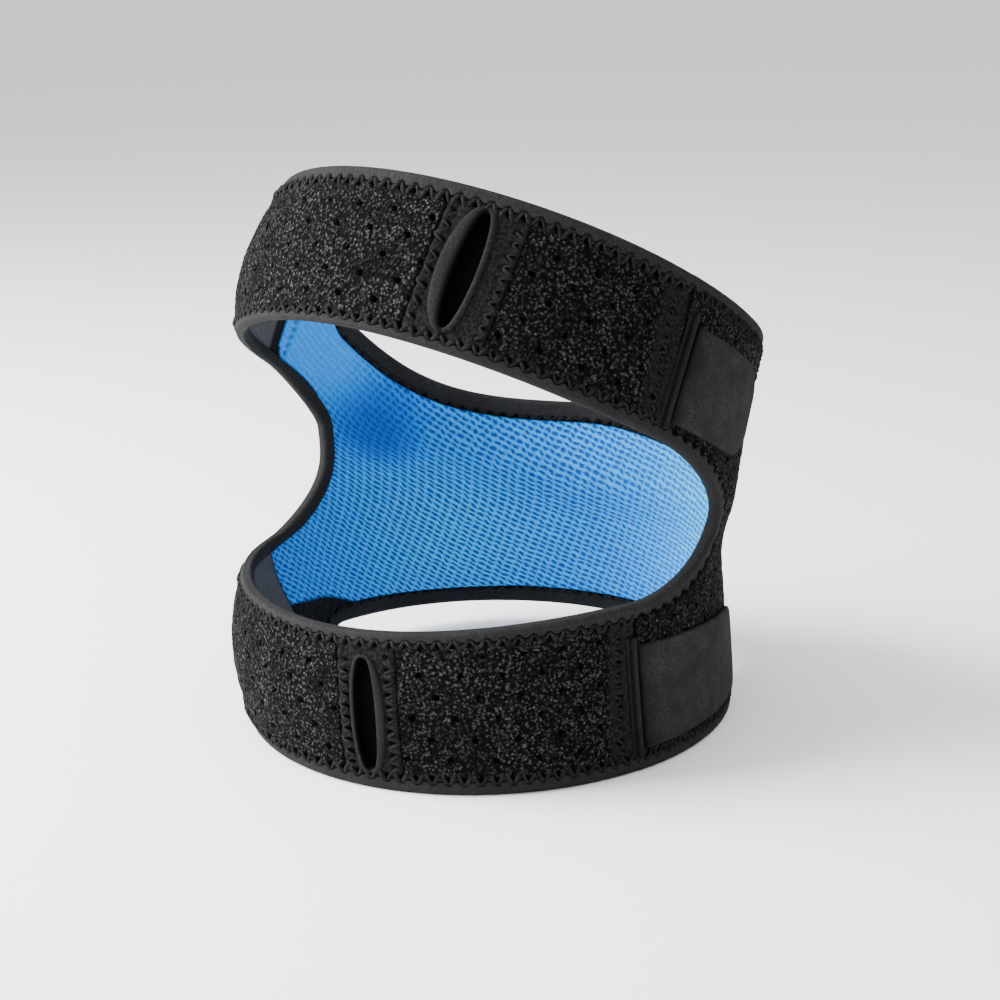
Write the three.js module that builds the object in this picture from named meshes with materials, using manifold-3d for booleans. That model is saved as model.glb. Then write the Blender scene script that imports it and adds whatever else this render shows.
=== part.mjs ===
// A patella strap: a padded sling behind the knee, closed in front by two straps above and below the kneecap.
// All pieces lie on one shared skin, a soft sleeve round the leg. Millimetres, +Z up, the pad toward +Y,
// the wearer's leg along Z. Angles run round the leg: 0 at the pad, 90 at +X, 180 in front.
import * as THREE from "three";
import Module from "manifold-3d";
import { mergeVertices } from "three/addons/utils/BufferGeometryUtils.js";

const wasm = await Module();
wasm.setup();

// Driving dimensions: the four edges of the two loops, each an ellipse about its own centre,
// pitched up toward the front and rolled toward +X by degrees.
const EDGES = {
  lowerFoot: { halfWidth: 70.9, halfDepth: 77.9, x: 0, y: 0, z: 0, pitch: 0, roll: 0 },
  lowerHead: { halfWidth: 71, halfDepth: 71.9, x: 0.3, y: -7.3, z: 55.9, pitch: -8.5, roll: -2.1 },
  upperFoot: { halfWidth: 77.8, halfDepth: 75.1, x: -0.3, y: -8.1, z: 84, pitch: 35.4, roll: 1.5 },
  upperHead: { halfWidth: 73.9, halfDepth: 78.9, x: -1.1, y: 18, z: 129.6, pitch: 29.2, roll: 1 },
};
// How far each loop swells between its edges in front, and how much more it does so on the -X side.
// The swell fades out over the degrees between its two angles, so the pad itself is smooth.
const SWELL = { lower: 2.3, lowerLean: 1.6, upper: 2.7, upperLean: 1.3, none: 98, full: 122 };
// At the pad each loop keeps this share of its height, and the rest bends smoothly between the two.
const PAD_SHARE = { kept: 0.62, falloff: 1.5, bend: 0.42 };
// Behind the knee the upper loop's head is drawn in and its foot let out, by all of it up to one angle
// from the pad's middle and by none of it from the other.
const PAD_TUCK = { head: 16, foot: 8, all: 15, none: 80 };
// The lowest share of the lower loop, where its cloth turns level with the floor's upright.
const FLOOR_TURN = 0.15;
// The heights between which the lower wing's end slants.
const WING_SLANT = { from: 0.1, to: 0.9 };

// Cloth thicknesses and the clearance between neighbours.
const CLOTH = { pile: 1.8, lining: 1.3, tab: 1.2, gap: 0.3 };
// The bound edges: how wide they are, how far they stand proud of both faces, how round their rim is,
// and the parting of two pieces sewn end to end, in degrees.
const TAPE = { strap: 4.2, pad: 6.3, proud: 0.25, round: 1, parting: 0.3 };
// Ends of the pad piece at the -X and +X sides. At -X the lower wing's end slants from its foot to its head.
const PAD_ENDS = { upperLeft: -103, lowerLeftFoot: -97, lowerLeftHead: -110, right: 106.5 };
// The two ends of the opening between the loops: the angle and height of the tip, and how full its upper
// and lower outlines are, from 1 for an ellipse to less for a fuller shape.
const OPENING = {
  left: { tip: -79.2, middle: 1.7, upperRoundness: 1.08, lowerRoundness: 0.92 },
  right: { tip: 75, middle: 1.5, upperRoundness: 1, lowerRoundness: 1 },
};
// The pad's top edge dips and its bottom edge lifts between these angles, in shares of a loop's height,
// and each runs out over some degrees more. The top edge rises again in a wave at the pad's middle.
const PAD_RIM = {
  head: { dip: 0.64, rise: 0.27, wave: 1.8, left: -80, leftEase: 20, right: 38, rightEase: 33 },
  foot: { lift: 0.18, left: -84, leftEase: 11, right: 22, rightEase: 32 },
};

// Slits in the straps, each a leaning almond: angles and heights of its ends, half its width, and how
// full it is, from 1 for an ellipse to less for a fuller shape.
const SLITS = {
  upper: { topAngle: 153, bottomAngle: 157, top: 2.87, bottom: 2.14, halfWidth: 3.1, roundness: 1 },
  lower: { topAngle: 169, bottomAngle: 167.5, top: 0.84, bottom: 0.13, halfWidth: 3, roundness: 0.7 },
};
const LIP = { width: 3.4, tipShare: 0.3, proud: 0.8 };
// Hook tabs that come out of the straps' ends and lie on the pad's wings: where the foot and head edges
// start, how far they go, their heights, how far the free end is lower, and its corners' radius.
const TABS = {
  upper: { footFrom: 106, headFrom: 103.3, to: 73.5, foot: 2.11, head: 2.72, drop: 0, corner: 11 },
  lower: { footFrom: 105.2, headFrom: 106.4, to: 57, foot: 0.14, head: 0.77, drop: 0.06, corner: 9 },
};
// The lip beside a tab: its parting from the tab and its width, in degrees, and its reach past the
// tab's edges, as a share of the loop's height.
const TAB_LIP = { parting: 0.3, width: 2.4, margin: 0.05 };

// Mesh fineness: degrees or steps along a piece, and where a sheet's rows lie between its edges.
const STEP = { strap: 20, band: 7.5, curve: 4.5, tab: 5, arc: 18, slit: 28, past: 20 };
// How far a cutter reaches past the cloth's faces, half its height at an opening's tip, the share of a
// loop by which it reaches past the loop's edges, and how many degrees a strap is left long to be cut.
const CUT = { reach: 4, tip: 0.01, share: 0.2, further: 4 };
const ROWS = {
  pad: [0, 0.06, 0.18, 0.3, 0.42, 0.54, 0.66, 0.8, 0.94, 1],
  strap: [0, 0.1, 0.37, 0.63, 0.9, 1],
};

// Colour and roughness of each kind of cloth.
const FINISHES = {
  pile: { color: 0x1d1d1f, roughness: 0.95 },
  strapLining: { color: 0x3a3a3c, roughness: 0.85 },
  mesh: { color: 0x2f86d8, roughness: 0.85 },
  tape: { color: 0x161618, roughness: 0.8 },
  lip: { color: 0x2a2a2c, roughness: 0.75 },
  tab: { color: 0x3d3d3f, roughness: 0.8 },
};

const radians = THREE.MathUtils.degToRad;
const mix = THREE.MathUtils.lerp;
const swing = (value) => 0.5 - 0.5 * Math.cos(Math.PI * THREE.MathUtils.clamp(value, 0, 1));

// A point on one of the four edges.
function edgePoint(edge, angle) {
  const side = edge.halfWidth * Math.sin(angle);
  const back = edge.halfDepth * Math.cos(angle);
  const pitch = radians(edge.pitch);
  const rise = -back * Math.sin(pitch) - side * Math.sin(radians(edge.roll));
  return new THREE.Vector3(edge.x + side, edge.y + back * Math.cos(pitch), edge.z + rise);
}

// The skin: height 0 to 1 is the lower loop, 1 to 2 the stretch between, 2 to 3 the upper loop.
function skin(degrees, height) {
  const angle = radians(degrees);
  const foot = edgePoint(EDGES.lowerFoot, angle);
  const lowerHead = edgePoint(EDGES.lowerHead, angle);
  const upperFoot = edgePoint(EDGES.upperFoot, angle);
  const head = edgePoint(EDGES.upperHead, angle);
  const out = new THREE.Vector3(Math.sin(angle), Math.cos(angle), 0);
  const fromPad = Math.abs(degrees > 180 ? 360 - degrees : degrees);
  const tuck = 1 - THREE.MathUtils.smoothstep(fromPad, PAD_TUCK.all, PAD_TUCK.none);
  head.addScaledVector(out, -PAD_TUCK.head * tuck);
  upperFoot.addScaledVector(out, PAD_TUCK.foot * tuck);
  const nearPad = (0.5 + 0.5 * Math.cos(angle)) ** PAD_SHARE.falloff;
  const share = 1 - (1 - PAD_SHARE.kept) * nearPad;
  const below = foot.clone().lerp(lowerHead, share);
  const above = head.clone().lerp(upperFoot, share);
  const point = new THREE.Vector3();
  if (height > 1 && height < 2) {
    const bend = below.distanceTo(above) * PAD_SHARE.bend;
    const fromBelow = lowerHead.sub(foot).setLength(bend).add(below);
    const fromAbove = upperFoot.sub(head).setLength(bend).add(above);
    return new THREE.CubicBezierCurve3(below, fromBelow, fromAbove, above).getPoint(height - 1, point);
  }
  const isUpper = height >= 2;
  const along = isUpper ? height - 2 : height;
  const swell = isUpper ? SWELL.upper * (1 - SWELL.upperLean * Math.sin(angle))
    : SWELL.lower * (1 - SWELL.lowerLean * Math.sin(angle));
  const ends = isUpper ? [above, head] : [foot, below];
  point.lerpVectors(ends[0], ends[1], along);
  const fade = THREE.MathUtils.smoothstep(fromPad, SWELL.none, SWELL.full);
  const inside = THREE.MathUtils.clamp(along, 0, 1);
  return point.addScaledVector(out, 4 * swell * fade * inside * (1 - inside));
}

// The skin's two directions at a point, per degree and per unit of height, and its outward normal.
// Near the floor the normal turns level, so that the lower edge stands flat.
function frameAt(degrees, height) {
  const small = { angle: 0.05, height: 0.001 };
  const around = skin(degrees + small.angle, height).sub(skin(degrees - small.angle, height));
  const up = skin(degrees, height + small.height).sub(skin(degrees, height - small.height));
  const normal = up.clone().cross(around);
  around.divideScalar(2 * small.angle);
  up.divideScalar(2 * small.height);
  normal.normalize();
  normal.z *= THREE.MathUtils.smoothstep(height, 0, FLOOR_TURN);
  return { around, up, normal: normal.normalize() };
}

// A point at a distance off the skin, outward positive.
function offSkin(degrees, height, distance) {
  return skin(degrees, height).addScaledVector(frameAt(degrees, height).normal, distance);
}

function toGeometry(positions, indices) {
  const geometry = new THREE.BufferGeometry();
  geometry.setAttribute("position", new THREE.Float32BufferAttribute(positions, 3));
  geometry.setIndex(indices);
  return geometry;
}

// Turns a closed geometry inside out where its volume is negative.
function facingOut(positions, indices) {
  const corners = [0, 1, 2].map(() => new THREE.Vector3());
  let volume = 0;
  for (let i = 0; i < indices.length; i += 3) {
    corners.forEach((corner, k) => corner.fromArray(positions, 3 * indices[i + k]));
    volume += corners[0].dot(corners[1].clone().cross(corners[2]));
  }
  return toGeometry(positions, volume < 0 ? indices.slice().reverse() : indices);
}

// How far to go, in degrees and in height, for one millimetre square to a route on the skin,
// at its place i. side picks one of the route's two sides.
function squareTo(route, i, closed, side) {
  const count = route.length;
  const before = route[closed ? (i + count - 1) % count : Math.max(i - 1, 0)];
  const after = route[closed ? (i + 1) % count : Math.min(i + 1, count - 1)];
  const { around, up, normal } = frameAt(route[i].angle, route[i].height);
  const ahead = around.clone().multiplyScalar(after.angle - before.angle);
  ahead.addScaledVector(up, after.height - before.height);
  const across = normal.cross(ahead).setLength(side);
  const [aa, au, uu] = [around.dot(around), around.dot(up), up.dot(up)];
  const [ca, cu] = [across.dot(around), across.dot(up)];
  const split = aa * uu - au * au;
  return { angle: (ca * uu - cu * au) / split, height: (cu * aa - ca * au) / split };
}

// A route moved square to itself by a width, narrowed by each place's share, and a clearance.
function shifted(route, width, clearance, side, closed = false) {
  return route.map(({ angle, height, share = 1 }, i) => {
    const step = squareTo(route, i, closed, side);
    const distance = width * share + clearance;
    return { angle: angle + distance * step.angle, height: height + distance * step.height };
  });
}

// A closed sheet of cloth between a low and a high route with as many places each,
// from an inner to an outer distance off the skin.
function sheet(low, high, shares, inner, outer) {
  const positions = [];
  const indices = [];
  const columns = low.length;
  const rows = shares.length - 1;
  const at = (face, i, j) => (face * columns + i) * (rows + 1) + j;
  for (const distance of [outer, inner]) {
    for (let i = 0; i < columns; i += 1) {
      for (const share of shares) {
        const angle = mix(low[i].angle, high[i].angle, share);
        const height = mix(low[i].height, high[i].height, share);
        positions.push(...offSkin(angle, height, distance).toArray());
      }
    }
  }
  const quad = (a, b, c, d) => indices.push(a, b, c, c, b, d);
  const last = columns - 1;
  for (let i = 0; i < last; i += 1) {
    for (let j = 0; j < rows; j += 1) {
      quad(at(0, i, j), at(0, i, j + 1), at(0, i + 1, j), at(0, i + 1, j + 1));
      quad(at(1, i, j), at(1, i + 1, j), at(1, i, j + 1), at(1, i + 1, j + 1));
    }
    quad(at(0, i, 0), at(0, i + 1, 0), at(1, i, 0), at(1, i + 1, 0));
    quad(at(0, i, rows), at(1, i, rows), at(0, i + 1, rows), at(1, i + 1, rows));
  }
  for (let j = 0; j < rows; j += 1) {
    quad(at(0, 0, j), at(1, 0, j), at(0, 0, j + 1), at(1, 0, j + 1));
    quad(at(0, last, j), at(0, last, j + 1), at(1, last, j), at(1, last, j + 1));
  }
  return facingOut(positions, indices);
}

// Sweeps a section along a route. Each section point is [across, off]: across runs along the skin
// to the route's chosen side and off runs away from the skin. A place's share narrows the section there.
function sweep(route, section, side, closed) {
  const positions = [];
  const indices = [];
  const count = route.length;
  route.forEach(({ angle, height, share = 1 }, i) => {
    const step = squareTo(route, i, closed, side);
    for (const [across, off] of section) {
      const reach = across * share;
      positions.push(...offSkin(angle + reach * step.angle, height + reach * step.height, off).toArray());
    }
  });
  const size = section.length;
  const spans = closed ? count : count - 1;
  for (let i = 0; i < spans; i += 1) {
    for (let k = 0; k < size; k += 1) {
      const [a, b] = [i * size + k, i * size + ((k + 1) % size)];
      const [c, d] = [((i + 1) % count) * size + k, ((i + 1) % count) * size + ((k + 1) % size)];
      indices.push(a, b, c, c, b, d);
    }
  }
  if (!closed) {
    const outline = section.map(([across, off]) => new THREE.Vector2(across, off));
    const end = (count - 1) * size;
    for (const face of THREE.ShapeUtils.triangulateShape(outline, [])) {
      const [a, b, c] = THREE.ShapeUtils.isClockWise(outline) ? face : face.slice().reverse();
      indices.push(a, b, c, end + a, end + c, end + b);
    }
  }
  return facingOut(positions, indices);
}

// Solids for cutting.
function toSolid(geometry) {
  const merged = mergeVertices(geometry);
  const vertProperties = new Float32Array(merged.attributes.position.array);
  const triVerts = new Uint32Array(merged.index.array);
  return new wasm.Manifold(new wasm.Mesh({ numProp: 3, vertProperties, triVerts }));
}

function cut(geometry, cutters) {
  const solid = cutters.reduce((left, cutter) => left.subtract(toSolid(cutter)), toSolid(geometry));
  const mesh = solid.getMesh();
  return toGeometry(Array.from(mesh.vertProperties), Array.from(mesh.triVerts));
}

const range = (from, to, step) => {
  const count = Math.max(1, Math.ceil(Math.abs(to - from) / step));
  return Array.from({ length: count + 1 }, (_, i) => mix(from, to, i / count));
};

// Thickness of the two cloth layers together.
const bodyDepth = CLOTH.pile + CLOTH.gap + CLOTH.lining;

// A bound edge's section: the cloth's edge and the tape round it, with a rounded rim.
function tapeSection(width) {
  const [outside, inside] = [TAPE.proud, -bodyDepth - TAPE.proud];
  return [[0, outside - TAPE.round], [TAPE.round, outside], [width, outside],
    [width, inside], [TAPE.round, inside], [0, inside + TAPE.round]];
}

// The pad's own top and bottom edges: full height in the wings, dipped and lifted behind the knee.
function padBlend(degrees, rim) {
  return swing((degrees - rim.left) / rim.leftEase + 1) * swing((rim.right - degrees) / rim.rightEase + 1);
}
function padHead(degrees) {
  const rise = PAD_RIM.head.rise * Math.cos(PAD_RIM.head.wave * radians(degrees)) ** 2;
  return 3 - (PAD_RIM.head.dip - rise) * padBlend(degrees, PAD_RIM.head);
}
const padFoot = (degrees) => PAD_RIM.foot.lift * padBlend(degrees, PAD_RIM.foot);

const routeAlong = (angles, edge) => angles.map((angle) => ({ angle, height: edge(angle) }));
const padAngles = [
  ...range(PAD_ENDS.lowerLeftHead, PAD_ENDS.upperLeft, STEP.curve).slice(0, -1),
  PAD_ENDS.upperLeft,
  PAD_RIM.head.left - PAD_RIM.head.leftEase,
  PAD_ENDS.lowerLeftFoot,
  ...range(PAD_RIM.foot.left - PAD_RIM.foot.leftEase, PAD_RIM.head.left, STEP.curve).slice(0, -1),
  ...range(PAD_RIM.head.left, PAD_RIM.head.right, STEP.band).slice(0, -1),
  ...range(PAD_RIM.head.right, PAD_ENDS.right, STEP.curve),
];
// Along the pad the bound edges are wider than along the straps.
const padRoute = (edge, rim) => routeAlong(padAngles, edge).map((place) => {
  return { ...place, share: mix(TAPE.strap / TAPE.pad, 1, padBlend(place.angle, rim)) };
});
const padRoutes = { foot: padRoute(padFoot, PAD_RIM.foot), head: padRoute(padHead, PAD_RIM.head) };
const padTapeRoutes = {
  head: padRoutes.head.filter((place) => place.angle >= PAD_ENDS.upperLeft),
  foot: padRoutes.foot.filter((place) => place.angle >= PAD_ENDS.lowerLeftFoot),
};

// Half of the opening's outline at one end, from its upper edge round to its lower edge.
function openingEnd({ tip, middle, upperRoundness, lowerRoundness }, upperEnd, lowerEnd) {
  return Array.from({ length: STEP.arc + 1 }, (_, i) => {
    const turn = Math.PI * (0.5 - i / STEP.arc);
    const [corner, roundness] = turn > 0 ? [upperEnd, upperRoundness] : [lowerEnd, lowerRoundness];
    const inward = Math.max(Math.cos(turn), 0) ** roundness;
    const outward = Math.abs(Math.sin(turn)) ** roundness;
    return { angle: mix(corner, tip, inward), height: mix(middle, turn > 0 ? 2 : 1, outward) };
  });
}
const leftOpening = openingEnd(OPENING.left, PAD_ENDS.upperLeft, PAD_ENDS.lowerLeftHead);
const rightOpening = openingEnd(OPENING.right, PAD_ENDS.right, PAD_ENDS.right);

// The solid that clears one end of the opening out of the pad, and past the pad's own end.
function openingCutter(route, side) {
  const outline = shifted(route, TAPE.strap, CLOTH.gap, side);
  const past = (place) => ({ angle: place.angle + STEP.past * side, height: place.height });
  const beside = (place, step) => ({ angle: place.angle, height: place.height + step });
  const tip = STEP.arc / 2;
  const high = [past(outline[0]), ...outline.slice(0, tip), beside(outline[tip], CUT.tip)];
  const low = [past(outline.at(-1)), ...outline.slice(tip + 1).reverse(), beside(outline[tip], -CUT.tip)];
  return sheet(low, high, ROWS.strap, -bodyDepth - CUT.reach, CUT.reach);
}

// The angle of the lower wing's slanting end at a height. It slants between the two bound edges.
function lowerLeftEnd(height) {
  const share = (height - WING_SLANT.from) / (WING_SLANT.to - WING_SLANT.from);
  return mix(PAD_ENDS.lowerLeftFoot, PAD_ENDS.lowerLeftHead, share);
}

// The solid that ends a cloth between two places of its end, and goes on to an angle past the cloth.
function endCutter(lowEnd, highEnd, past) {
  const low = [lowEnd, { angle: past, height: lowEnd.height }];
  const high = [highEnd, { angle: past, height: highEnd.height }];
  return sheet(low, high, ROWS.strap, -bodyDepth - CUT.reach, CUT.reach);
}
const lowerWingEnd = (height, turn) => ({ angle: lowerLeftEnd(height) + turn, height });
const upperWingEnd = (height) => ({ angle: PAD_ENDS.upperLeft, height });
const pastWings = PAD_ENDS.lowerLeftHead - STEP.past;
const padCutters = [
  openingCutter(leftOpening, -1),
  openingCutter(rightOpening, 1),
  endCutter(lowerWingEnd(-CUT.share, 0), lowerWingEnd(1 + CUT.share, 0), pastWings),
  endCutter(upperWingEnd(OPENING.left.middle), upperWingEnd(3 + CUT.share), pastWings),
];

function padLayer(inner, outer) {
  const low = shifted(padRoutes.foot, TAPE.pad, CLOTH.gap, -1);
  const high = shifted(padRoutes.head, TAPE.pad, CLOTH.gap, 1);
  return cut(sheet(low, high, ROWS.pad, inner, outer), padCutters);
}

// A strap runs from the pad's right end round the front to its left end, and some degrees further where
// it is still to be cut.
function strapRoute(height, further = 0) {
  const lowerEnd = height < 1 ? PAD_ENDS.lowerLeftFoot : PAD_ENDS.lowerLeftHead;
  const leftEnd = height < 2 ? lowerEnd : PAD_ENDS.upperLeft;
  const [start, end] = [PAD_ENDS.right + TAPE.parting, 360 + leftEnd - TAPE.parting + further];
  return routeAlong(range(start, end, (end - start) / STEP.strap), () => height);
}

function strapLayer(foot, inner, outer, cutters) {
  const low = shifted(strapRoute(foot, CUT.further), TAPE.strap, CLOTH.gap, -1);
  const high = shifted(strapRoute(foot + 1, CUT.further), TAPE.strap, CLOTH.gap, 1);
  return cut(sheet(low, high, ROWS.strap, inner, outer), cutters);
}

// The ends of the two straps at -X, one full turn on from the wings' ends.
const onceRound = 360 - TAPE.parting;
const pastStraps = 360 + PAD_ENDS.lowerLeftFoot + STEP.past;
const strapEnds = {
  lower: endCutter(lowerWingEnd(-CUT.share, onceRound), lowerWingEnd(1 + CUT.share, onceRound), pastStraps),
  upper: endCutter(
    { angle: PAD_ENDS.upperLeft + onceRound, height: 2 - CUT.share },
    { angle: PAD_ENDS.upperLeft + onceRound, height: 3 + CUT.share },
    pastStraps,
  ),
};

// The almond outline of a slit as a closed route on the skin. Its lip narrows toward the two tips.
function slitRoute(slit) {
  return Array.from({ length: STEP.slit }, (_, i) => {
    const turn = (2 * Math.PI * i) / STEP.slit;
    const along = 0.5 + 0.5 * Math.cos(turn);
    const centre = mix(slit.bottomAngle, slit.topAngle, along);
    const height = mix(slit.bottom, slit.top, along);
    const bulge = Math.sign(Math.sin(turn)) * Math.abs(Math.sin(turn)) ** slit.roundness;
    const across = (slit.halfWidth * bulge) / frameAt(centre, height).around.length();
    return { angle: centre + across, height, share: mix(LIP.tipShare, 1, Math.abs(Math.sin(turn))) };
  });
}

// A closed plug through the cloth, as wide as a slit and its lip.
function slitCutter(slit) {
  const route = shifted(slitRoute(slit), LIP.width, CLOTH.gap, -1, true);
  const half = route.length / 2;
  const left = route.slice(0, half + 1);
  const right = [route[0], ...route.slice(half).reverse()];
  return sheet(left, right, [0, 0.5, 1], -bodyDepth, bodyDepth);
}

// A slit's rolled lip, set into the pile and standing a little proud of it.
function slitLip(slit) {
  const [floor, top] = [-CLOTH.pile, LIP.proud];
  const section = [[0, floor], [0, top - TAPE.round], [TAPE.round, top],
    [LIP.width - TAPE.round, top], [LIP.width, top - TAPE.round], [LIP.width, floor]];
  return sweep(slitRoute(slit), section, -1, true);
}

// The edges of a hook tab at a share of its length from the lip to the free end.
function tabEdges(tab, share) {
  const footAngle = mix(tab.footFrom, tab.to, share);
  const headAngle = mix(tab.headFrom, tab.to, share);
  const middle = (tab.foot + tab.head - tab.drop * share) / 2;
  const { around, up } = frameAt((footAngle + headAngle) / 2, middle);
  const fromEnd = ((footAngle + headAngle) / 2 - tab.to) * around.length();
  const inside = THREE.MathUtils.clamp(1 - fromEnd / tab.corner, 0, 1);
  const round = tab.corner * (1 - Math.sqrt(1 - inside * inside));
  const half = (tab.head - tab.drop * share - tab.foot) / 2 - round / up.length();
  const low = { angle: footAngle, height: middle - half };
  const high = { angle: headAngle, height: middle + half };
  return { low, high };
}

// A hook tab with a rounded free end, flat on the outside of a wing.
function hookTab(tab) {
  const shares = range(0, 1, STEP.tab / (tab.footFrom - tab.to));
  const last = shares.at(-2);
  shares.splice(-1, 1, mix(last, 1, 0.5), mix(last, 1, 0.85), 1);
  const edges = shares.map((share) => tabEdges(tab, share));
  const low = edges.map((edge) => edge.low);
  const high = edges.map((edge) => edge.high);
  return sheet(low, high, ROWS.strap, CLOTH.gap, CLOTH.gap + CLOTH.tab);
}

// The narrow lip over a strap's end, where its tab comes out.
function tabLip(tab) {
  const from = TAB_LIP.parting;
  const angles = [from, from + TAB_LIP.width];
  const low = angles.map((angle) => ({ angle: tab.footFrom + angle, height: tab.foot - TAB_LIP.margin }));
  const high = angles.map((angle) => ({ angle: tab.headFrom + angle, height: tab.head + TAB_LIP.margin }));
  return sheet(low, high, ROWS.strap, CLOTH.gap, CLOTH.gap + CLOTH.tab);
}

const pileOuter = 0;
const pileInner = -CLOTH.pile;
const liningOuter = -CLOTH.pile - CLOTH.gap;
const liningInner = -bodyDepth;

const padTape = (route, side) => sweep(route, tapeSection(TAPE.pad), side, false);
const strapTape = (route, side) => sweep(route, tapeSection(TAPE.strap), side, false);

const part = new THREE.Group();
function add(name, geometry, finish) {
  const material = new THREE.MeshStandardMaterial({ ...FINISHES[finish], metalness: 0 });
  const mesh = new THREE.Mesh(geometry, material);
  mesh.name = name;
  part.add(mesh);
}

add("pad_shell", padLayer(pileInner, pileOuter), "pile");
add("pad_lining", padLayer(liningInner, liningOuter), "mesh");
add("pad_top_binding", padTape(padTapeRoutes.head, 1), "tape");
add("pad_bottom_binding", padTape(padTapeRoutes.foot, -1), "tape");
add("left_opening_binding", strapTape(leftOpening, -1), "tape");
add("right_opening_binding", strapTape(rightOpening, 1), "tape");

for (const [name, foot] of [["upper", 2], ["lower", 0]]) {
  const slit = SLITS[name];
  add(`${name}_strap`, strapLayer(foot, pileInner, pileOuter, [strapEnds[name], slitCutter(slit)]), "pile");
  add(`${name}_strap_lining`, strapLayer(foot, liningInner, liningOuter, [strapEnds[name]]), "strapLining");
  add(`${name}_strap_top_binding`, strapTape(strapRoute(foot + 1), 1), "tape");
  add(`${name}_strap_bottom_binding`, strapTape(strapRoute(foot), -1), "tape");
  add(`${name}_slit_lip`, slitLip(slit), "lip");
  add(`${name}_tab_lip`, tabLip(TABS[name]), "lip");
  add(`${name}_hook_tab`, hookTab(TABS[name]), "tab");
}

// The origin is on the floor under the middle of the whole outline.
const box = new THREE.Box3().setFromObject(part);
const middle = box.getCenter(new THREE.Vector3());
part.position.set(-middle.x, -middle.y, -box.min.z);

export default part;
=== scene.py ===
import math

import bpy
import numpy as np
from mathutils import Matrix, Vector


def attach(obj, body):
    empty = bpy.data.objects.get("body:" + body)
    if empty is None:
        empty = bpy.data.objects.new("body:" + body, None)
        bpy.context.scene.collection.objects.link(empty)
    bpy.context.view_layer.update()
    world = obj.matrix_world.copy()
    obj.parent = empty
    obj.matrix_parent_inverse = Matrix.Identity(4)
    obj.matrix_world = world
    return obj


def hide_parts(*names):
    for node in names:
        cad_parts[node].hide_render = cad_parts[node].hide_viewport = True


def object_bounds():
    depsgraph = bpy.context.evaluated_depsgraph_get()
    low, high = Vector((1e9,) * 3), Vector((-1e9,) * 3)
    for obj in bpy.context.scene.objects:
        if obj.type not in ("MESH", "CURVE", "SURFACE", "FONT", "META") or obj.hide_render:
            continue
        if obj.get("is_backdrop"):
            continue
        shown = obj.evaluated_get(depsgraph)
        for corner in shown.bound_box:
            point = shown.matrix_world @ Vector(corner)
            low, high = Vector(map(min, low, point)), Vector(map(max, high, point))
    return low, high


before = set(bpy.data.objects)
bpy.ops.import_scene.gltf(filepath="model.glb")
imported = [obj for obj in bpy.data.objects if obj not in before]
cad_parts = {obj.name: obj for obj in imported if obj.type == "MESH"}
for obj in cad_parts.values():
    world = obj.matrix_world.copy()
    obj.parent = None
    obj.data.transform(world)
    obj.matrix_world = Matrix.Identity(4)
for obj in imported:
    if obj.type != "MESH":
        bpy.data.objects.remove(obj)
cadBox = [list(corner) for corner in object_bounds()]
print("frame loaded, box", cadBox)

# The skin that every piece lies on, as in the CAD: four ellipses, in millimetres and degrees
skinEdges = {
    "lowerFoot": dict(halfWidth=70.9, halfDepth=77.9, x=0, y=0, z=0, pitch=0, roll=0),
    "lowerHead": dict(halfWidth=71, halfDepth=71.9, x=0.3, y=-7.3, z=55.9, pitch=-8.5, roll=-2.1),
    "upperFoot": dict(halfWidth=77.8, halfDepth=75.1, x=-0.3, y=-8.1, z=84, pitch=35.4, roll=1.5),
    "upperHead": dict(halfWidth=73.9, halfDepth=78.9, x=-1.1, y=18, z=129.6, pitch=29.2, roll=1),
}
skinShape = dict(
    originX=0.051, originY=2.048,  # from the ellipses' own origin to the middle of the outline
    swellLower=2.3, leanLower=1.6, swellUpper=2.7, leanUpper=1.3, swellNone=98, swellFull=122,
    padShare=0.62, padFalloff=1.5, padBend=0.42,
    tuckHead=16, tuckFoot=8, tuckAll=15, tuckNone=80, floorTurn=0.15,
    angleStep=0.05, heightStep=0.001,  # the small differences that give its two directions
)
cloth = dict(pile=1.8, lining=1.3, gap=0.3, tab=1.2)  # three thicknesses, and the air between two layers
depth = cloth["pile"] + cloth["gap"] + cloth["lining"]
tapeOverlap = cloth["gap"] * 0.5  # each cloth ends this far inside its tape
padEnds = dict(upperLeft=-103, lowerLeftFoot=-97, lowerLeftHead=-110, slantFrom=0.1, slantTo=0.9,
               right=106.5, overlap=0.08)  # the straps reach this far into the pad, so nothing shows through


def smoothstep(x, low, high):  # 3t^2 - 2t^3 between low and high
    t = np.clip((x - low) / (high - low), 0, 1)
    return t * t * (3 - 2 * t)


def swing(x):  # half a cosine wave from 0 to 1
    return 0.5 - 0.5 * np.cos(np.pi * np.clip(x, 0, 1))


def unit(v):  # the same direction, one long
    return v / np.maximum(np.linalg.norm(v, axis=-1, keepdims=True), 1e-12)


def dot(p, q):
    return (p * q).sum(-1)


def edgePoint(edge, a):  # side = halfWidth sin a, back = halfDepth cos a, tilted by pitch and roll
    side, back = edge["halfWidth"] * np.sin(a), edge["halfDepth"] * np.cos(a)
    pitch, roll = math.radians(edge["pitch"]), math.radians(edge["roll"])
    rise = -back * math.sin(pitch) - side * math.sin(roll)
    return np.stack([edge["x"] + side, edge["y"] + back * math.cos(pitch), edge["z"] + rise], -1)


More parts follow.
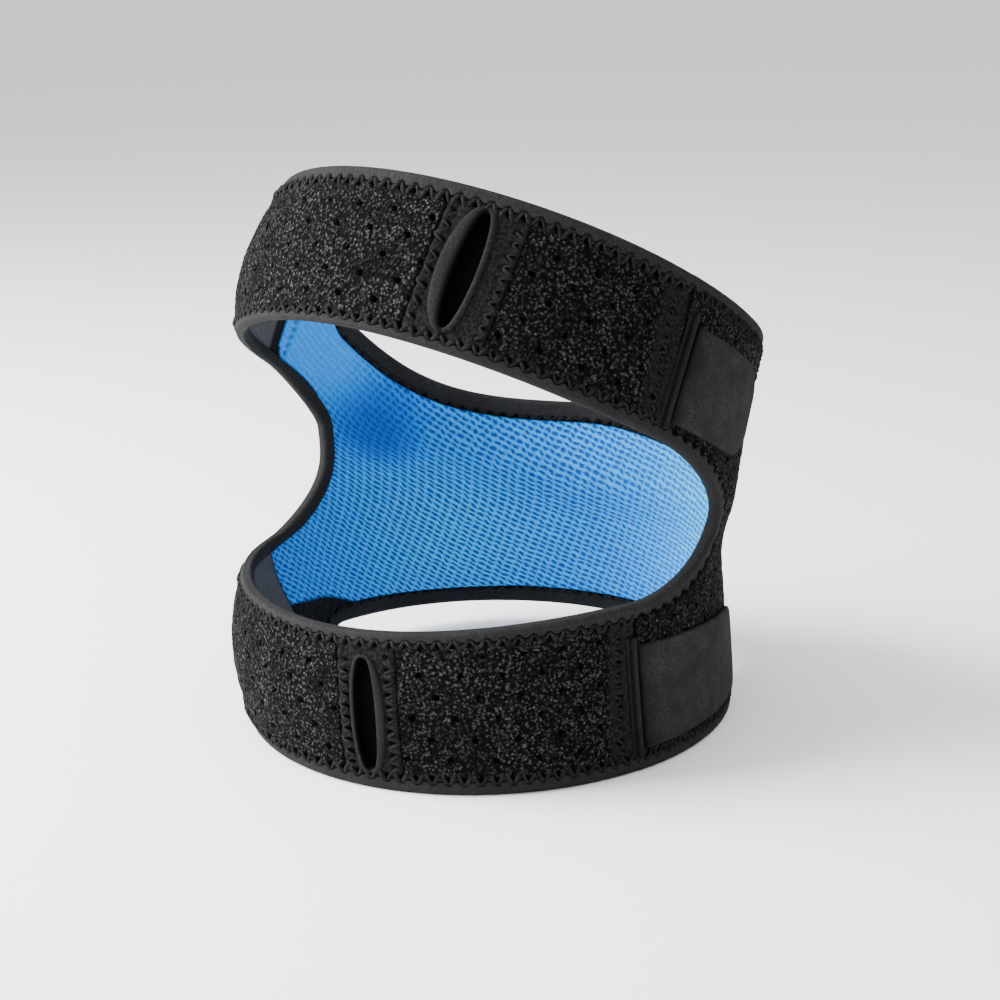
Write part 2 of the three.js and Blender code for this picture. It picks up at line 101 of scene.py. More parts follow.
def skin(angle, height):
    # Height 0 to 1 is the lower loop and 2 to 3 the upper one, each straight from edge to edge plus a
    # parabola's swelling at the front. 1 to 2 is a cubic bend that carries both loops on into each other.
    # By the pad the upper head tucks in, and only a share of each loop stays straight.
    s = skinShape
    a = np.radians(angle)
    foot, lowerHead, upperFoot, head = (edgePoint(skinEdges[k], a) for k in skinEdges)
    out = np.stack([np.sin(a), np.cos(a), 0 * a], -1)
    fromPad = np.abs(np.where(angle > 180, 360 - angle, angle))
    tuck = (1 - smoothstep(fromPad, s["tuckAll"], s["tuckNone"]))[..., None]
    head = head - out * s["tuckHead"] * tuck
    upperFoot = upperFoot + out * s["tuckFoot"] * tuck
    share = (1 - (1 - s["padShare"]) * (0.5 + 0.5 * np.cos(a)) ** s["padFalloff"])[..., None]
    below = foot + (lowerHead - foot) * share
    above = head + (upperFoot - head) * share
    bend = s["padBend"] * np.linalg.norm(above - below, axis=-1, keepdims=True)
    low, high = below + unit(lowerHead - foot) * bend, above + unit(upperFoot - head) * bend
    t = np.clip(height - 1, 0, 1)[..., None]
    middle = (1 - t) ** 3 * below + 3 * (1 - t) ** 2 * t * low + 3 * (1 - t) * t ** 2 * high + t ** 3 * above
    fade = smoothstep(fromPad, s["swellNone"], s["swellFull"])

    def loop(bottom, top, along, swell, lean):
        inside = np.clip(along, 0, 1)
        puff = 4 * swell * (1 - lean * np.sin(a)) * fade * inside * (1 - inside)
        return bottom + (top - bottom) * along[..., None] + out * puff[..., None]

    lower = loop(foot, below, height, s["swellLower"], s["leanLower"])
    upper = loop(above, head, height - 2, s["swellUpper"], s["leanUpper"])
    h = height[..., None]
    return np.where(h <= 1, lower, np.where(h >= 2, upper, middle))


def skinFrame(angle, height):  # two directions by small differences, and their normal, level at the floor
    da, dh = skinShape["angleStep"], skinShape["heightStep"]
    around = (skin(angle + da, height) - skin(angle - da, height)) / (2 * da)
    up = (skin(angle, height + dh) - skin(angle, height - dh)) / (2 * dh)
    normal = unit(np.cross(up, around))
    normal[..., 2] *= smoothstep(height, 0, skinShape["floorTurn"])
    return around, up, unit(normal)


def offSkin(angle, height, off):  # skin point plus off times the normal, in metres in the frame
    angle, height, off = np.broadcast_arrays(angle * 1.0, height * 1.0, off * 1.0)
    point = skin(angle, height) + skinFrame(angle, height)[2] * off[..., None]
    return (point + [skinShape["originX"], skinShape["originY"], 0]) / 1000


def stepsAcross(angle, height, side, closed=False):
    # Degrees and height that make one millimetre square to a route, from the skin's two directions.
    if closed:
        dAngle = np.roll(angle, -1) - np.roll(angle, 1)
        dHeight = np.roll(height, -1) - np.roll(height, 1)
    else:
        dAngle, dHeight = np.gradient(angle), np.gradient(height)
    around, up, normal = skinFrame(angle, height)
    ahead = around * dAngle[:, None] + up * dHeight[:, None]
    across = unit(np.cross(normal, ahead)) * side
    aa, au, uu = dot(around, around), dot(around, up), dot(up, up)
    ca, cu = dot(across, around), dot(across, up)
    split = aa * uu - au * au
    return (ca * uu - cu * au) / split, (cu * aa - ca * au) / split


def shifted(route, distance, side):  # a route moved square to itself by so many millimetres
    stepA, stepH = stepsAcross(*route, side)
    return route[0] + distance * stepA, route[1] + distance * stepH


def between(routes, count):  # a grid of angles and of heights between a low and a high route
    share = np.linspace(0, 1, count)
    return [low[:, None] + (high - low)[:, None] * share for low, high in zip(*routes)]


def lengthAlong(points):  # running length down the first axis, in millimetres
    gaps = np.linalg.norm(np.diff(points, axis=0), axis=-1) * 1000
    return np.concatenate([np.zeros((1,) + gaps.shape[1:]), np.cumsum(gaps, 0)])


def lengthUp(points):  # the same along the second axis
    return lengthAlong(points.transpose(1, 0, 2)).T


def softNoise(x, y, size, seed):  # random values on a lattice, blended by smoothstep in between
    cells = 256
    table = np.random.default_rng(seed).random((cells, cells))
    i, j = np.floor(x / size).astype(int), np.floor(y / size).astype(int)
    u, w = x / size - i, y / size - j
    u, w = u * u * (3 - 2 * u), w * w * (3 - 2 * w)
    corner = lambda p, q: table[(i + p) % cells, (j + q) % cells]
    low = corner(0, 0) * (1 - u) + corner(1, 0) * u
    high = corner(0, 1) * (1 - u) + corner(1, 1) * u
    return (low * (1 - w) + high * w) * 2 - 1


# Meshes


def quadsOf(index, wrapRows=False, wrapColumns=False):  # quads over a grid of vertex numbers
    if wrapRows:
        index = np.concatenate([index, index[:1]], 0)
    if wrapColumns:
        index = np.concatenate([index, index[:, :1]], 1)
    return np.stack([index[:-1, :-1], index[1:, :-1], index[1:, 1:], index[:-1, 1:]], -1).reshape(-1, 4)


def makePiece(name, points, quads, ngons=(), values=None, uv=None):
    mesh = bpy.data.meshes.new(name)
    corners = np.concatenate([quads.ravel()] + [np.asarray(n) for n in ngons]).astype(np.int32)
    sizes = np.concatenate([np.full(len(quads), 4), [len(n) for n in ngons]]).astype(np.int32)
    mesh.vertices.add(len(points))
    mesh.vertices.foreach_set("co", points.astype(np.float32).ravel())
    mesh.loops.add(len(corners))
    mesh.loops.foreach_set("vertex_index", corners)
    mesh.polygons.add(len(sizes))
    mesh.polygons.foreach_set("loop_start", np.concatenate([[0], np.cumsum(sizes)[:-1]]).astype(np.int32))
    for key, value in (values or {}).items():
        layer = mesh.attributes.new(key, "FLOAT", "POINT")
        layer.data.foreach_set("value", value.astype(np.float32).ravel())
    if uv is not None:
        layer = mesh.uv_layers.new(name="cloth")
        layer.data.foreach_set("uv", uv[corners].astype(np.float32).ravel())
    mesh.update(calc_edges=True)
    mesh.validate()
    mesh.polygons.foreach_set("use_smooth", np.full(len(mesh.polygons), True))
    piece = bpy.data.objects.new(name, mesh)
    bpy.context.scene.collection.objects.link(piece)
    facesOut(piece)
    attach(piece, "root")
    return piece


def facesOut(piece):  # turns the faces round where the signed volume is negative
    mesh = piece.data
    mesh.calc_loop_triangles()
    corners = np.empty(len(mesh.loop_triangles) * 3, np.int32)
    mesh.loop_triangles.foreach_get("vertices", corners)
    points = np.empty(len(mesh.vertices) * 3, np.float32)
    mesh.vertices.foreach_get("co", points)
    p = points.reshape(-1, 3)[corners].reshape(-1, 3, 3).astype(float)
    if (p[:, 0] * np.cross(p[:, 1], p[:, 2])).sum() < 0:
        mesh.flip_normals()


def slab(outer, inner):
    # A closed wall: an outer grid and a coarser inner one with the same columns, edges and ends closed.
    columns, rows = outer.shape[:2]
    front = np.arange(columns * rows).reshape(columns, rows)
    back = np.arange(columns * inner.shape[1]).reshape(columns, -1) + front.size
    points = np.concatenate([outer.reshape(-1, 3), inner.reshape(-1, 3)])
    sides = [np.stack([front[:, k], back[:, k]], 1) for k in (0, -1)]
    quads = [quadsOf(front), quadsOf(back)[:, ::-1], quadsOf(sides[0])[:, ::-1], quadsOf(sides[1])]
    ends = [np.concatenate([front[0], back[0, ::-1]]), np.concatenate([front[-1, ::-1], back[-1]])]
    return points, np.concatenate(quads), ends


def tube(centre, radius, across, sides=6):
    # Rings along a line of points: centre + radius (first cos turn + second sin turn), where first and
    # second stand square to the line and first leans toward the direction across.
    ahead = np.gradient(centre, axis=0)
    second = unit(np.cross(ahead, across))
    first = unit(np.cross(second, ahead))
    turn = np.linspace(0, 2 * np.pi, sides, endpoint=False)
    ring = first[:, None] * np.cos(turn)[:, None] + second[:, None] * np.sin(turn)[:, None]
    points = (centre[:, None] + ring * radius[:, None, None]).reshape(-1, 3)
    index = np.arange(len(points)).reshape(len(centre), sides)
    return points, quadsOf(index, wrapColumns=True), (index[0, ::-1], index[-1])


def joined(parts):  # several bodies as one: points, quads and ends with their numbers moved on
    points, quads, ends, count = [], [], [], 0
    for p, q, e in parts:
        points.append(p)
        quads.append(q + count)
        ends += [np.asarray(n) + count for n in e]
        count += len(p)
    return np.concatenate(points), np.concatenate(quads), ends


# Materials


def newMaterial(name, **sockets):
    material = bpy.data.materials.new(name)
    material.use_nodes = True
    shader = material.node_tree.nodes["Principled BSDF"]
    for key, value in sockets.items():
        shader.inputs[key.replace("_", " ")].default_value = value
    return material, material.node_tree, shader


def addNode(tree, kind, values=None, **settings):
    node = tree.nodes.new("ShaderNode" + kind)
    for key, value in settings.items():
        setattr(node, key, value)
    for key, value in (values or {}).items():
        if isinstance(value, bpy.types.NodeSocket):
            tree.links.new(value, node.inputs[key])
        else:
            node.inputs[key].default_value = value
    return node


def ramp(tree, value, low, high):  # 0 at low, 1 at high, whichever of the two is larger
    node = addNode(tree, "MapRange", {"Value": value, "From Min": low, "From Max": high},
                   interpolation_type="SMOOTHSTEP")
    return node.outputs["Result"]


def blendColours(tree, factor, first, second):  # first where the factor is 0, second where it is 1
    node = addNode(tree, "Mix", data_type="RGBA")
    for socket, value in ((0, factor), (6, first), (7, second)):
        if isinstance(value, bpy.types.NodeSocket):
            tree.links.new(value, node.inputs[socket])
        else:
            node.inputs[socket].default_value = value
    return node.outputs[2]


def sums(tree, kind, first, second=0.0):  # kinds that take one value leave the second unused
    return addNode(tree, "Math", {0: first, 1: second}, operation=kind).outputs[0]


def attribute(tree, name):
    return addNode(tree, "Attribute", attribute_name=name).outputs["Fac"]


def objectPlace(tree):  # Object coordinates, in metres
    return addNode(tree, "TexCoord").outputs["Object"]


def noise(tree, size, detail=2.0, rough=0.5):  # size: one swell of the noise, in metres
    node = addNode(tree, "TexNoise", {"Vector": objectPlace(tree), "Scale": 1 / size, "Detail": detail,
                                      "Roughness": rough})
    return node.outputs["Fac"]


def addBump(tree, shader, height, distance):
    bump = addNode(tree, "Bump", {"Height": height, "Distance": distance, "Strength": 1.0})
    tree.links.new(bump.outputs["Normal"], shader.inputs["Normal"])


def grey(value, tint=1.04):  # a touch of blue over plain grey
    return (value, value, value * tint, 1)


# the light colour is for the pile's painted glints, the near-black one for painted shade
pileLook = dict(dark=0.0022, light=0.105, smoothDark=0.0045, smoothLight=0.0125, hole=0.0002, flatten=0.85,
                loop=0.00095, glintSize=0.00105, patch=0.011, grain=0.0009, bump=0.0015,
                glintRamp=(0.42, 0.66), loopRamp=(0.7, 0.15), patchRamp=(0.1, 0.65), grainRamp=(0.35, 0.7))


def pileMaterial(name, look):
    # Painted glints: light specks where small noise, the middles of loop cells and broad patches are all
    # high, in place of light caught by the loops. The smooth parts have a finer, flatter grain.
    material, tree, shader = newMaterial(name, Roughness=0.8, Specular_IOR_Level=0.03)
    loops = addNode(tree, "TexVoronoi", {"Vector": objectPlace(tree), "Scale": 1 / look["loop"],
                                         "Randomness": 1.0})
    strands = noise(tree, look["glintSize"], detail=4.0, rough=0.75)
    patches = noise(tree, look["patch"], detail=3.0)
    lit = ramp(tree, strands, *look["glintRamp"])
    lit = sums(tree, "MULTIPLY", lit, ramp(tree, loops.outputs["Distance"], *look["loopRamp"]))
    lit = sums(tree, "MULTIPLY", lit, ramp(tree, patches, *look["patchRamp"]))
    pile = blendColours(tree, lit, grey(look["dark"]), grey(look["light"]))
    fine = ramp(tree, noise(tree, look["grain"], detail=4.0), *look["grainRamp"])
    facing = blendColours(tree, fine, grey(look["smoothDark"]), grey(look["smoothLight"]))
    smoothPart = attribute(tree, "smoothPart")
    colour = blendColours(tree, smoothPart, pile, facing)
    # near black where the attribute is set: painted shade in holes, gaps, grooves and the slit's pocket
    colour = blendColours(tree, attribute(tree, "hole"), colour, grey(look["hole"]))
    tree.links.new(colour, shader.inputs["Base Color"])
    height = sums(tree, "ADD", sums(tree, "SUBTRACT", 1.0, loops.outputs["Distance"]), strands)
    rough = sums(tree, "SUBTRACT", 1.0, sums(tree, "MULTIPLY", smoothPart, look["flatten"]))
    addBump(tree, shader, sums(tree, "MULTIPLY", height, rough), look["bump"])
    return material


fabricLook = dict(hole=0.0004, fibreRamp=(0.35, 0.7), broadRamp=(0.1, 0.8),
                  broad=14)  # the patches' size in grains


def fabricMaterial(name, dark, light, grain, bump, roughness=0.8):
    # Dark to light by fibre noise times broad noise, and near black where the darkening attribute is 1:
    # painted shade in pits, folds and grooves, and on the strap lining the black of the pad's sewn-on end.
    material, tree, shader = newMaterial(name, Roughness=roughness, Specular_IOR_Level=0.05)
    fibres = noise(tree, grain, detail=5.0, rough=0.65)
    broad = noise(tree, grain * fabricLook["broad"])
    mixed = sums(tree, "MULTIPLY", ramp(tree, fibres, *fabricLook["fibreRamp"]),
                 ramp(tree, broad, *fabricLook["broadRamp"]))
    colour = blendColours(tree, mixed, grey(dark), grey(light))
    colour = blendColours(tree, attribute(tree, "hole"), colour, grey(fabricLook["hole"]))
    tree.links.new(colour, shader.inputs["Base Color"])
    addBump(tree, shader, fibres, bump)
    return material


# the pit colour is painted shade in the pits, crest a painted highlight on the ridges and shade painted
# shade; border is the black binding
meshLook = dict(pit=(0.0, 0.075, 0.42, 1), yarn=(0.0, 0.24, 1.0, 1), crestHighlight=(0.06, 0.66, 1.0, 1),
                shade=(0.0, 0.12, 0.6, 1), border=(0.004, 0.004, 0.006, 1), pitLong=1.9, pitHigh=2.7,
                wander=1.04, wanderSize=0.003, fibre=0.0007, bump=0.0007, ridgeHighlight=0.55, ridgeHigh=0.5,
                pitRamp=(0.95, 0.1), ridgeRamp=(0.16, 0.5), shadeRamp=(0.45, 0.0))


def meshMaterial(name, look):
    # Brick-like rows of short pits between yarns, drawn from the lattice numbers in the cloth's map: a pit
    # is where the squared distances from the middle of a stitch and of its row add up to less than 1.
    material, tree, shader = newMaterial(name, Roughness=0.85, Specular_IOR_Level=0.12)
    lattice = addNode(tree, "SeparateXYZ", {"Vector": addNode(tree, "UVMap", uv_map="cloth").outputs["UV"]})
    wander = sums(tree, "SUBTRACT", noise(tree, look["wanderSize"], detail=3.0), 0.5)
    wander = sums(tree, "MULTIPLY", wander, look["wander"])
    row = sums(tree, "ADD", lattice.outputs["Y"], wander)
    odd = sums(tree, "MULTIPLY", sums(tree, "FLOORED_MODULO", sums(tree, "FLOOR", row), 2.0), 0.5)
    step = sums(tree, "ADD", sums(tree, "ADD", lattice.outputs["X"], odd), wander)
    alongRow = sums(tree, "SUBTRACT", sums(tree, "FRACT", step), 0.5)
    acrossRow = sums(tree, "SUBTRACT", sums(tree, "FRACT", row), 0.5)
    nearAlong = sums(tree, "POWER", sums(tree, "MULTIPLY", alongRow, look["pitLong"]), 2.0)
    nearAcross = sums(tree, "POWER", sums(tree, "MULTIPLY", acrossRow, look["pitHigh"]), 2.0)
    near = sums(tree, "ADD", nearAlong, nearAcross)
    pit = sums(tree, "MULTIPLY", ramp(tree, near, *look["pitRamp"]), attribute(tree, "knit"))
    ridge = ramp(tree, sums(tree, "ABSOLUTE", acrossRow), *look["ridgeRamp"])
    fibres = noise(tree, look["fibre"], detail=4.0, rough=0.7)
    # painted light and shade: the attribute lightens the crests and, where low, brings in the shade colour
    paintedLightShade = attribute(tree, "paintedLightShade")
    # painted highlight on the ridges between rows, scaled by the painted light and shade
    lit = sums(tree, "ADD", sums(tree, "MULTIPLY", ridge, look["ridgeHighlight"]), fibres)
    colour = blendColours(tree, sums(tree, "MULTIPLY", lit, paintedLightShade), look["yarn"], look["crestHighlight"])
    colour = blendColours(tree, ramp(tree, paintedLightShade, *look["shadeRamp"]), colour, look["shade"])
    # painted shade in the pits
    colour = blendColours(tree, pit, colour, look["pit"])
    colour = blendColours(tree, attribute(tree, "hole"), colour, look["border"])
    tree.links.new(colour, shader.inputs["Base Color"])
    height = sums(tree, "ADD", sums(tree, "MULTIPLY", ridge, look["ridgeHigh"]), fibres)
    addBump(tree, shader, sums(tree, "SUBTRACT", height, pit), look["bump"])
    return material


materials = {
    "pile": pileMaterial("loop_pile", pileLook),
    "strapLining": fabricMaterial("smooth_knit_lining", dark=0.05, light=0.085, grain=0.0009, bump=0.00012),
    "tape": fabricMaterial("stretch_edge_tape", dark=0.012, light=0.023, grain=0.0009, bump=0.0002),
    "lip": fabricMaterial("folded_lip", dark=0.008, light=0.018, grain=0.0007, bump=0.0001),
    "tab": fabricMaterial("brushed_hook_tab", dark=0.011, light=0.038, grain=0.0005, bump=0.00012,
                          roughness=0.9),
    "thread": fabricMaterial("black_thread", dark=0.006, light=0.024, grain=0.0006, bump=0.0002),
    "mesh": meshMaterial("blue_knit_mesh", meshLook),
}


def dress(piece, material, slotName, *nodes):
    piece.data.materials.append(materials[material])
    if nodes:
        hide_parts(*nodes)
    return piece


# Cloth relief, in millimetres

pileRelief = dict(lattice=11.8, rows=12.6, holeWide=0.55, holeEdge=1.05, holeDeep=1.3, holeFromEdge=4.5,
                  loopSize=0.95, loopHigh=0.16, clumpSize=3.2, clumpHigh=0.1, edgeRound=1.2, edgeDrop=0.8,
                  endMargin=0.4)  # a cloth's ends count as this much farther away than its long edges


def fromRims(x, y, margin=0):  # the distance to the nearest edge or end of a grid of lengths
    return np.minimum(np.minimum(y, y[:, -1:] - y), np.minimum(x, x[-1:] - x) + margin)


def perforations(x, y, fromEdge):  # 1 inside a hole of a staggered lattice, 0 away from it and by the edges
    near = np.full(x.shape, np.inf)
    for half in (0, 0.5):
        dx = (x / pileRelief["lattice"] + half) % 1 - 0.5
        dy = (y / pileRelief["rows"] + half) % 1 - 0.5
        near = np.minimum(near, np.hypot(dx * pileRelief["lattice"], dy * pileRelief["rows"]))
    inside = 1 - smoothstep(near, pileRelief["holeWide"], pileRelief["holeEdge"])
    return inside * (fromEdge > pileRelief["holeFromEdge"])


def pileHeight(x, y, fromEdge, smoothPart, seed):  # two noises, less a rounded drop along the edges
    loops = softNoise(x, y, pileRelief["loopSize"], seed) * pileRelief["loopHigh"]
    clumps = softNoise(x, y, pileRelief["clumpSize"], seed + 1) * pileRelief["clumpHigh"]
    nearEdge = 1 - np.clip(fromEdge / pileRelief["edgeRound"], 0, 1)
    drop = pileRelief["edgeDrop"] * (1 - np.sqrt(1 - nearEdge ** 2 * 0.999))
    return (loops + clumps) * (1 - smoothPart) - drop


# Bound edges: a rounded tape folded over the cloth's edge, with a row of stitch pits. A pit is a squashed
# spot once in each pitch, wider toward the tape's seam like a small triangle.

tapeShape = dict(strap=4.2, pad=6.3, proud=0.25, rim=1.55, seam=0.35, cornerPoints=7, step=0.4,
                 rippleHigh=0.05, rippleSize=1.3, rimFlat=1)  # no pits within this much of the rim
pitShape = dict(pitch=4.4, wide=1.15, deep=1.0, fromSeam=0.5, spread=0.5, narrowest=0.3, widest=1.2,
                squash=0.8, inner=0.45, outer=1.15, stray=0.25, straySize=5)


def tapeProfile(width):  # a rounded rectangle as rows of [across, off], across 0 at the rim
    top, bottom = tapeShape["proud"], -depth - tapeShape["proud"]
    corners = [(0, top, tapeShape["rim"]), (width, top, tapeShape["seam"]),
               (width, bottom, tapeShape["seam"]), (0, bottom, tapeShape["rim"])]
    starts = [np.pi, np.pi / 2, 0, -np.pi / 2]
    inward = [(1, -1), (-1, -1), (-1, 1), (1, 1)]
    points = []
    for (x, y, r), start, (sx, sy) in zip(corners, starts, inward):
        turn = start - np.linspace(0, np.pi / 2, tapeShape["cornerPoints"])
        points.append(np.stack([x + sx * r + r * np.cos(turn), y + sy * r + r * np.sin(turn)], 1))
    outline = np.concatenate(points)
    # more points on the flat faces, so that the stitch pits have something to bend
    dense = []
    for a, b in zip(outline, np.roll(outline, -1, 0)):
        steps = max(1, int(np.ceil(np.linalg.norm(b - a) / tapeShape["step"])))
        dense.append(a + (b - a) * np.arange(steps)[:, None] / steps)
    return np.concatenate(dense)


def boundEdge(name, route, width, side, node, share=1.0, pits="outer"):
    # The profile carried along the route, its width times the share at each place.
    stepA, stepH = stepsAcross(*route, side)
    share = np.broadcast_to(share, route[0].shape)[:, None]
    profileAcross, profileOff = tapeProfile(width).T[:, None]
    along = lengthAlong(offSkin(*route, 0))[:, None]
    across = profileAcross * share
    middle = -depth / 2
    isOuter = profileOff > middle
    p = pitShape
    fromSeam = across - (width * share - p["fromSeam"])
    beat = ((along / p["pitch"] + 0.5) % 1 - 0.5) * p["pitch"]
    beat = beat + p["stray"] * softNoise(along, 0 * along, p["straySize"], 6)
    wide = p["wide"] * np.clip(1 + fromSeam * p["spread"], p["narrowest"], p["widest"])
    pit = 1 - smoothstep(np.hypot(beat, fromSeam * p["squash"]), wide * p["inner"], wide * p["outer"])
    pitted = {"outer": isOuter, "both": True, "none": False}[pits]
    pit = pit * ((profileAcross > tapeShape["rimFlat"]) & pitted)
    ripple = tapeShape["rippleHigh"] * softNoise(along + 0 * across, across, tapeShape["rippleSize"], 5)
    # each pit is sunk into the tape and darkened with painted shade
    sink = pit * p["deep"] - ripple
    off = profileOff - np.where(isOuter, sink, -sink)
    angle, height = route[0][:, None] + across * stepA[:, None], route[1][:, None] + across * stepH[:, None]
    points = offSkin(angle, height, off)
    points[..., 2] = np.maximum(points[..., 2], 0)  # nothing goes below the floor
    index = np.arange(points[..., 0].size).reshape(points.shape[:2])
    uv = np.stack(np.broadcast_arrays(along, across), -1).reshape(-1, 2) / 1000
    piece = makePiece(name, points.reshape(-1, 3), quadsOf(index, wrapColumns=True),
                      (index[0, ::-1], index[-1]), {"hole": pit}, uv)
    return dress(piece, "tape", "bound_edge", node)


threadShape = dict(radius=0.52, seamShare=0.85, pointsInTurn=14, lift=0.35, loose=0.22,
                   looseSize=0.7, liftNoise=0.15, liftSize=0.4, thickNoise=0.3, thickSize=0.25, seed=7)


def zigzag(route, side, near, far, pitch, radius, off, dip=0.7):
    # A thread that swings between two distances from a route by a cosine, and dives into the cloth at each
    # turn by the cube of its distance from the middle of the swing.
    t = threadShape
    stepA, stepH = stepsAcross(*route, side)
    along = lengthAlong(offSkin(*route, 0))
    count = int(along[-1] / pitch)
    turns = np.linspace(0, count, count * t["pointsInTurn"] + 1)
    pick = lambda values: np.interp(turns * pitch, along, values)
    wave = 0.5 - 0.5 * np.cos(2 * np.pi * turns)
    loose = softNoise(turns, 0 * turns, t["looseSize"], t["seed"])
    shake = softNoise(turns, 0 * turns, t["liftSize"], t["seed"] + 1)
    swell = softNoise(turns, 0 * turns, t["thickSize"], t["seed"] + 2)
    across = near + (far - near) * wave * (1 + t["loose"] * loose)
    lift = off + radius * t["lift"] - dip * (np.abs(2 * wave - 1) ** 3) + t["liftNoise"] * shake
    angle = pick(route[0]) + across * pick(stepA)
    height = pick(route[1]) + across * pick(stepH)
    centre = offSkin(angle, height, lift)
    outward = centre - offSkin(angle, height, lift - 1)
    return tube(centre, radius * (1 + t["thickNoise"] * swell) / 1000, outward)


lumpShape = dict(reach=2.7, wide=0.42, full=0.8, even=0.75, evenSize=2.3, stray=0.07, straySize=6,
                 gapAt=0.6, gapWide=1.0, gapDeep=1.15)


def stitchLumps(x, fromEdge):
    # Round mounds between the turns of the edge stitches, and gaps that get painted shade: a raised cosine
    # along the edge times a bell across it.
    s = lumpShape
    beat = x / pitShape["pitch"] + s["stray"] * softNoise(x, 0 * x, s["straySize"], 62)
    mound = (0.5 - 0.5 * np.cos(2 * np.pi * beat)) ** s["full"]
    mound = mound * np.exp(-((fromEdge - s["reach"] / 2) / (s["reach"] * s["wide"])) ** 2)
    mound = mound * (s["even"] + (1 - s["even"]) * softNoise(x, fromEdge, s["evenSize"], 61))
    gap = (0.5 + 0.5 * np.cos(2 * np.pi * beat)) ** 3 * np.exp(-((fromEdge - s["gapAt"]) / s["gapWide"]) ** 2)
    return np.clip(mound, 0, 1), np.clip(gap * s["gapDeep"], 0, 1)


# The pad

padRim = {
    "head": dict(dip=0.64, rise=0.27, wave=1.8, left=-80, leftEase=20, right=38, rightEase=33),
    "foot": dict(lift=0.18, left=-84, leftEase=11, right=22, rightEase=32),
}
opening = {
    "left": dict(tip=-79.2, middle=1.7, upperRound=1.08, lowerRound=0.92, upperEnd=-103, lowerEnd=-110),
    "right": dict(tip=75, middle=1.5, upperRound=1, lowerRound=1, upperEnd=106.5, lowerEnd=106.5),
}
padGrid = dict(
    backRows=6, rimPoints=620, tipPoints=90, wingColumns=30,  # a wing has as many as 30 degrees of the body
    edgeFrom=-118, edgeTo=107, edgePoints=1200,  # the table of the foot and head edges
    mapFrom=-125, mapTo=110, mapPoints=700, mapHeights=151, mapMiddle=1.5,  # the table of lengths
)


def lowerLeftEnd(height):  # the lower wing's end slants in a straight line from its foot to its head
    share = (height - padEnds["slantFrom"]) / (padEnds["slantTo"] - padEnds["slantFrom"])
    return padEnds["lowerLeftFoot"] + (padEnds["lowerLeftHead"] - padEnds["lowerLeftFoot"]) * share


def padBlend(angle, rim):  # 1 in the middle of the pad, easing by a half cosine to 0 in the wings
    fromLeft, fromRight = (angle - rim["left"]) / rim["leftEase"], (rim["right"] - angle) / rim["rightEase"]
    return swing(fromLeft + 1) * swing(fromRight + 1)


def padHead(angle):  # 3 less a dip that rises again as a squared cosine in the middle
    rim = padRim["head"]
    rise = rim["rise"] * np.cos(rim["wave"] * np.radians(angle)) ** 2
    return 3 - (rim["dip"] - rise) * padBlend(angle, rim)


def padFoot(angle):  # 0, and lifted off the floor in the middle
    return padRim["foot"]["lift"] * padBlend(angle, padRim["foot"])


def tapeShare(angle, rim):  # 1 in the middle, where the tape is the pad's, and the strap's width in the wings
    share = tapeShape["strap"] / tapeShape["pad"]
    return share + (1 - share) * padBlend(angle, rim)


def openingEnd(key):  # a superellipse from the upper corner round the tip to the lower one
    o = opening[key]
    turn = np.pi * (0.5 - np.linspace(0, 1, padGrid["tipPoints"] * 2 + 1))
    isUpper = turn > 0
    full = np.where(isUpper, o["upperRound"], o["lowerRound"])
    corner = np.where(isUpper, o["upperEnd"], o["lowerEnd"])
    inward, outward = np.maximum(np.cos(turn), 0) ** full, np.abs(np.sin(turn)) ** full
    edge = np.where(isUpper, 2, 1)
    return corner + (o["tip"] - corner) * inward, o["middle"] + (edge - o["middle"]) * outward


def padSheet(columnsPerDegree):
    # Columns run from end to end of the pad, dense at the opening's tips. The lower half runs from the foot
    # edge to the opening or a middle line, the upper half from there to the head edge: each as a low and a
    # high route of angles and heights.
    table = np.linspace(padGrid["edgeFrom"], padGrid["edgeTo"], padGrid["edgePoints"])
    edges, curves = {}, {}
    for key, edge, side in (("foot", padFoot, -1), ("head", padHead, 1)):
        width = tapeShape["pad"] * tapeShare(table, padRim[key])
        edges[key] = shifted((table, edge(table)), width - tapeOverlap, side)
    for key, side in (("left", -1), ("right", 1)):
        curves[key] = shifted(openingEnd(key), tapeShape["strap"] - tapeOverlap, side)
    tip = padGrid["tipPoints"]
    leftTip, rightTip = curves["left"][0][tip], curves["right"][0][tip]
    dense = 1 - np.cos(np.pi / 2 * np.linspace(0, 1, int(padGrid["wingColumns"] * columnsPerDegree)))
    body = np.linspace(leftTip, rightTip, int((rightTip - leftTip) * columnsPerDegree))
    left, right = dense[::-1][:-1], dense[1:]
    leftShare = np.concatenate([left, np.zeros(len(body) + len(right))])
    rightWing = rightTip + (padEnds["right"] - rightTip) * right
    base = np.concatenate([np.full(len(left), leftTip), body, rightWing])
    isBody = np.repeat([False, True, False], [len(left), len(body), len(right)])
    spread = lambda end: base + (end - leftTip) * leftShare  # the left wing's columns stretched to its end
    middle = np.interp(base, [leftTip, rightTip], [curves["left"][1][tip], curves["right"][1][tip]])

    def openingHeight(angle, isUpper):
        height = middle.copy()
        part = slice(tip, None, -1) if isUpper else slice(tip, None)
        for key, sign in (("left", -1), ("right", 1)):
            a, h = curves[key]
            where = ~isBody & (angle * sign > 0)
            height[where] = np.interp(angle[where] * sign, a[part] * sign, h[part])
        return height

    low = spread(lowerLeftEnd(np.interp(padEnds["lowerLeftFoot"], *edges["foot"])))
    high = spread(lowerLeftEnd(curves["left"][1][-1]))
    upper = spread(padEnds["upperLeft"])
    lowerHalf = ((low, np.interp(low, *edges["foot"])), (high, openingHeight(high, False)))
    upperHalf = ((upper, openingHeight(upper, True)), (upper, np.interp(upper, *edges["head"])))
    return isBody, (lowerHalf, upperHalf)


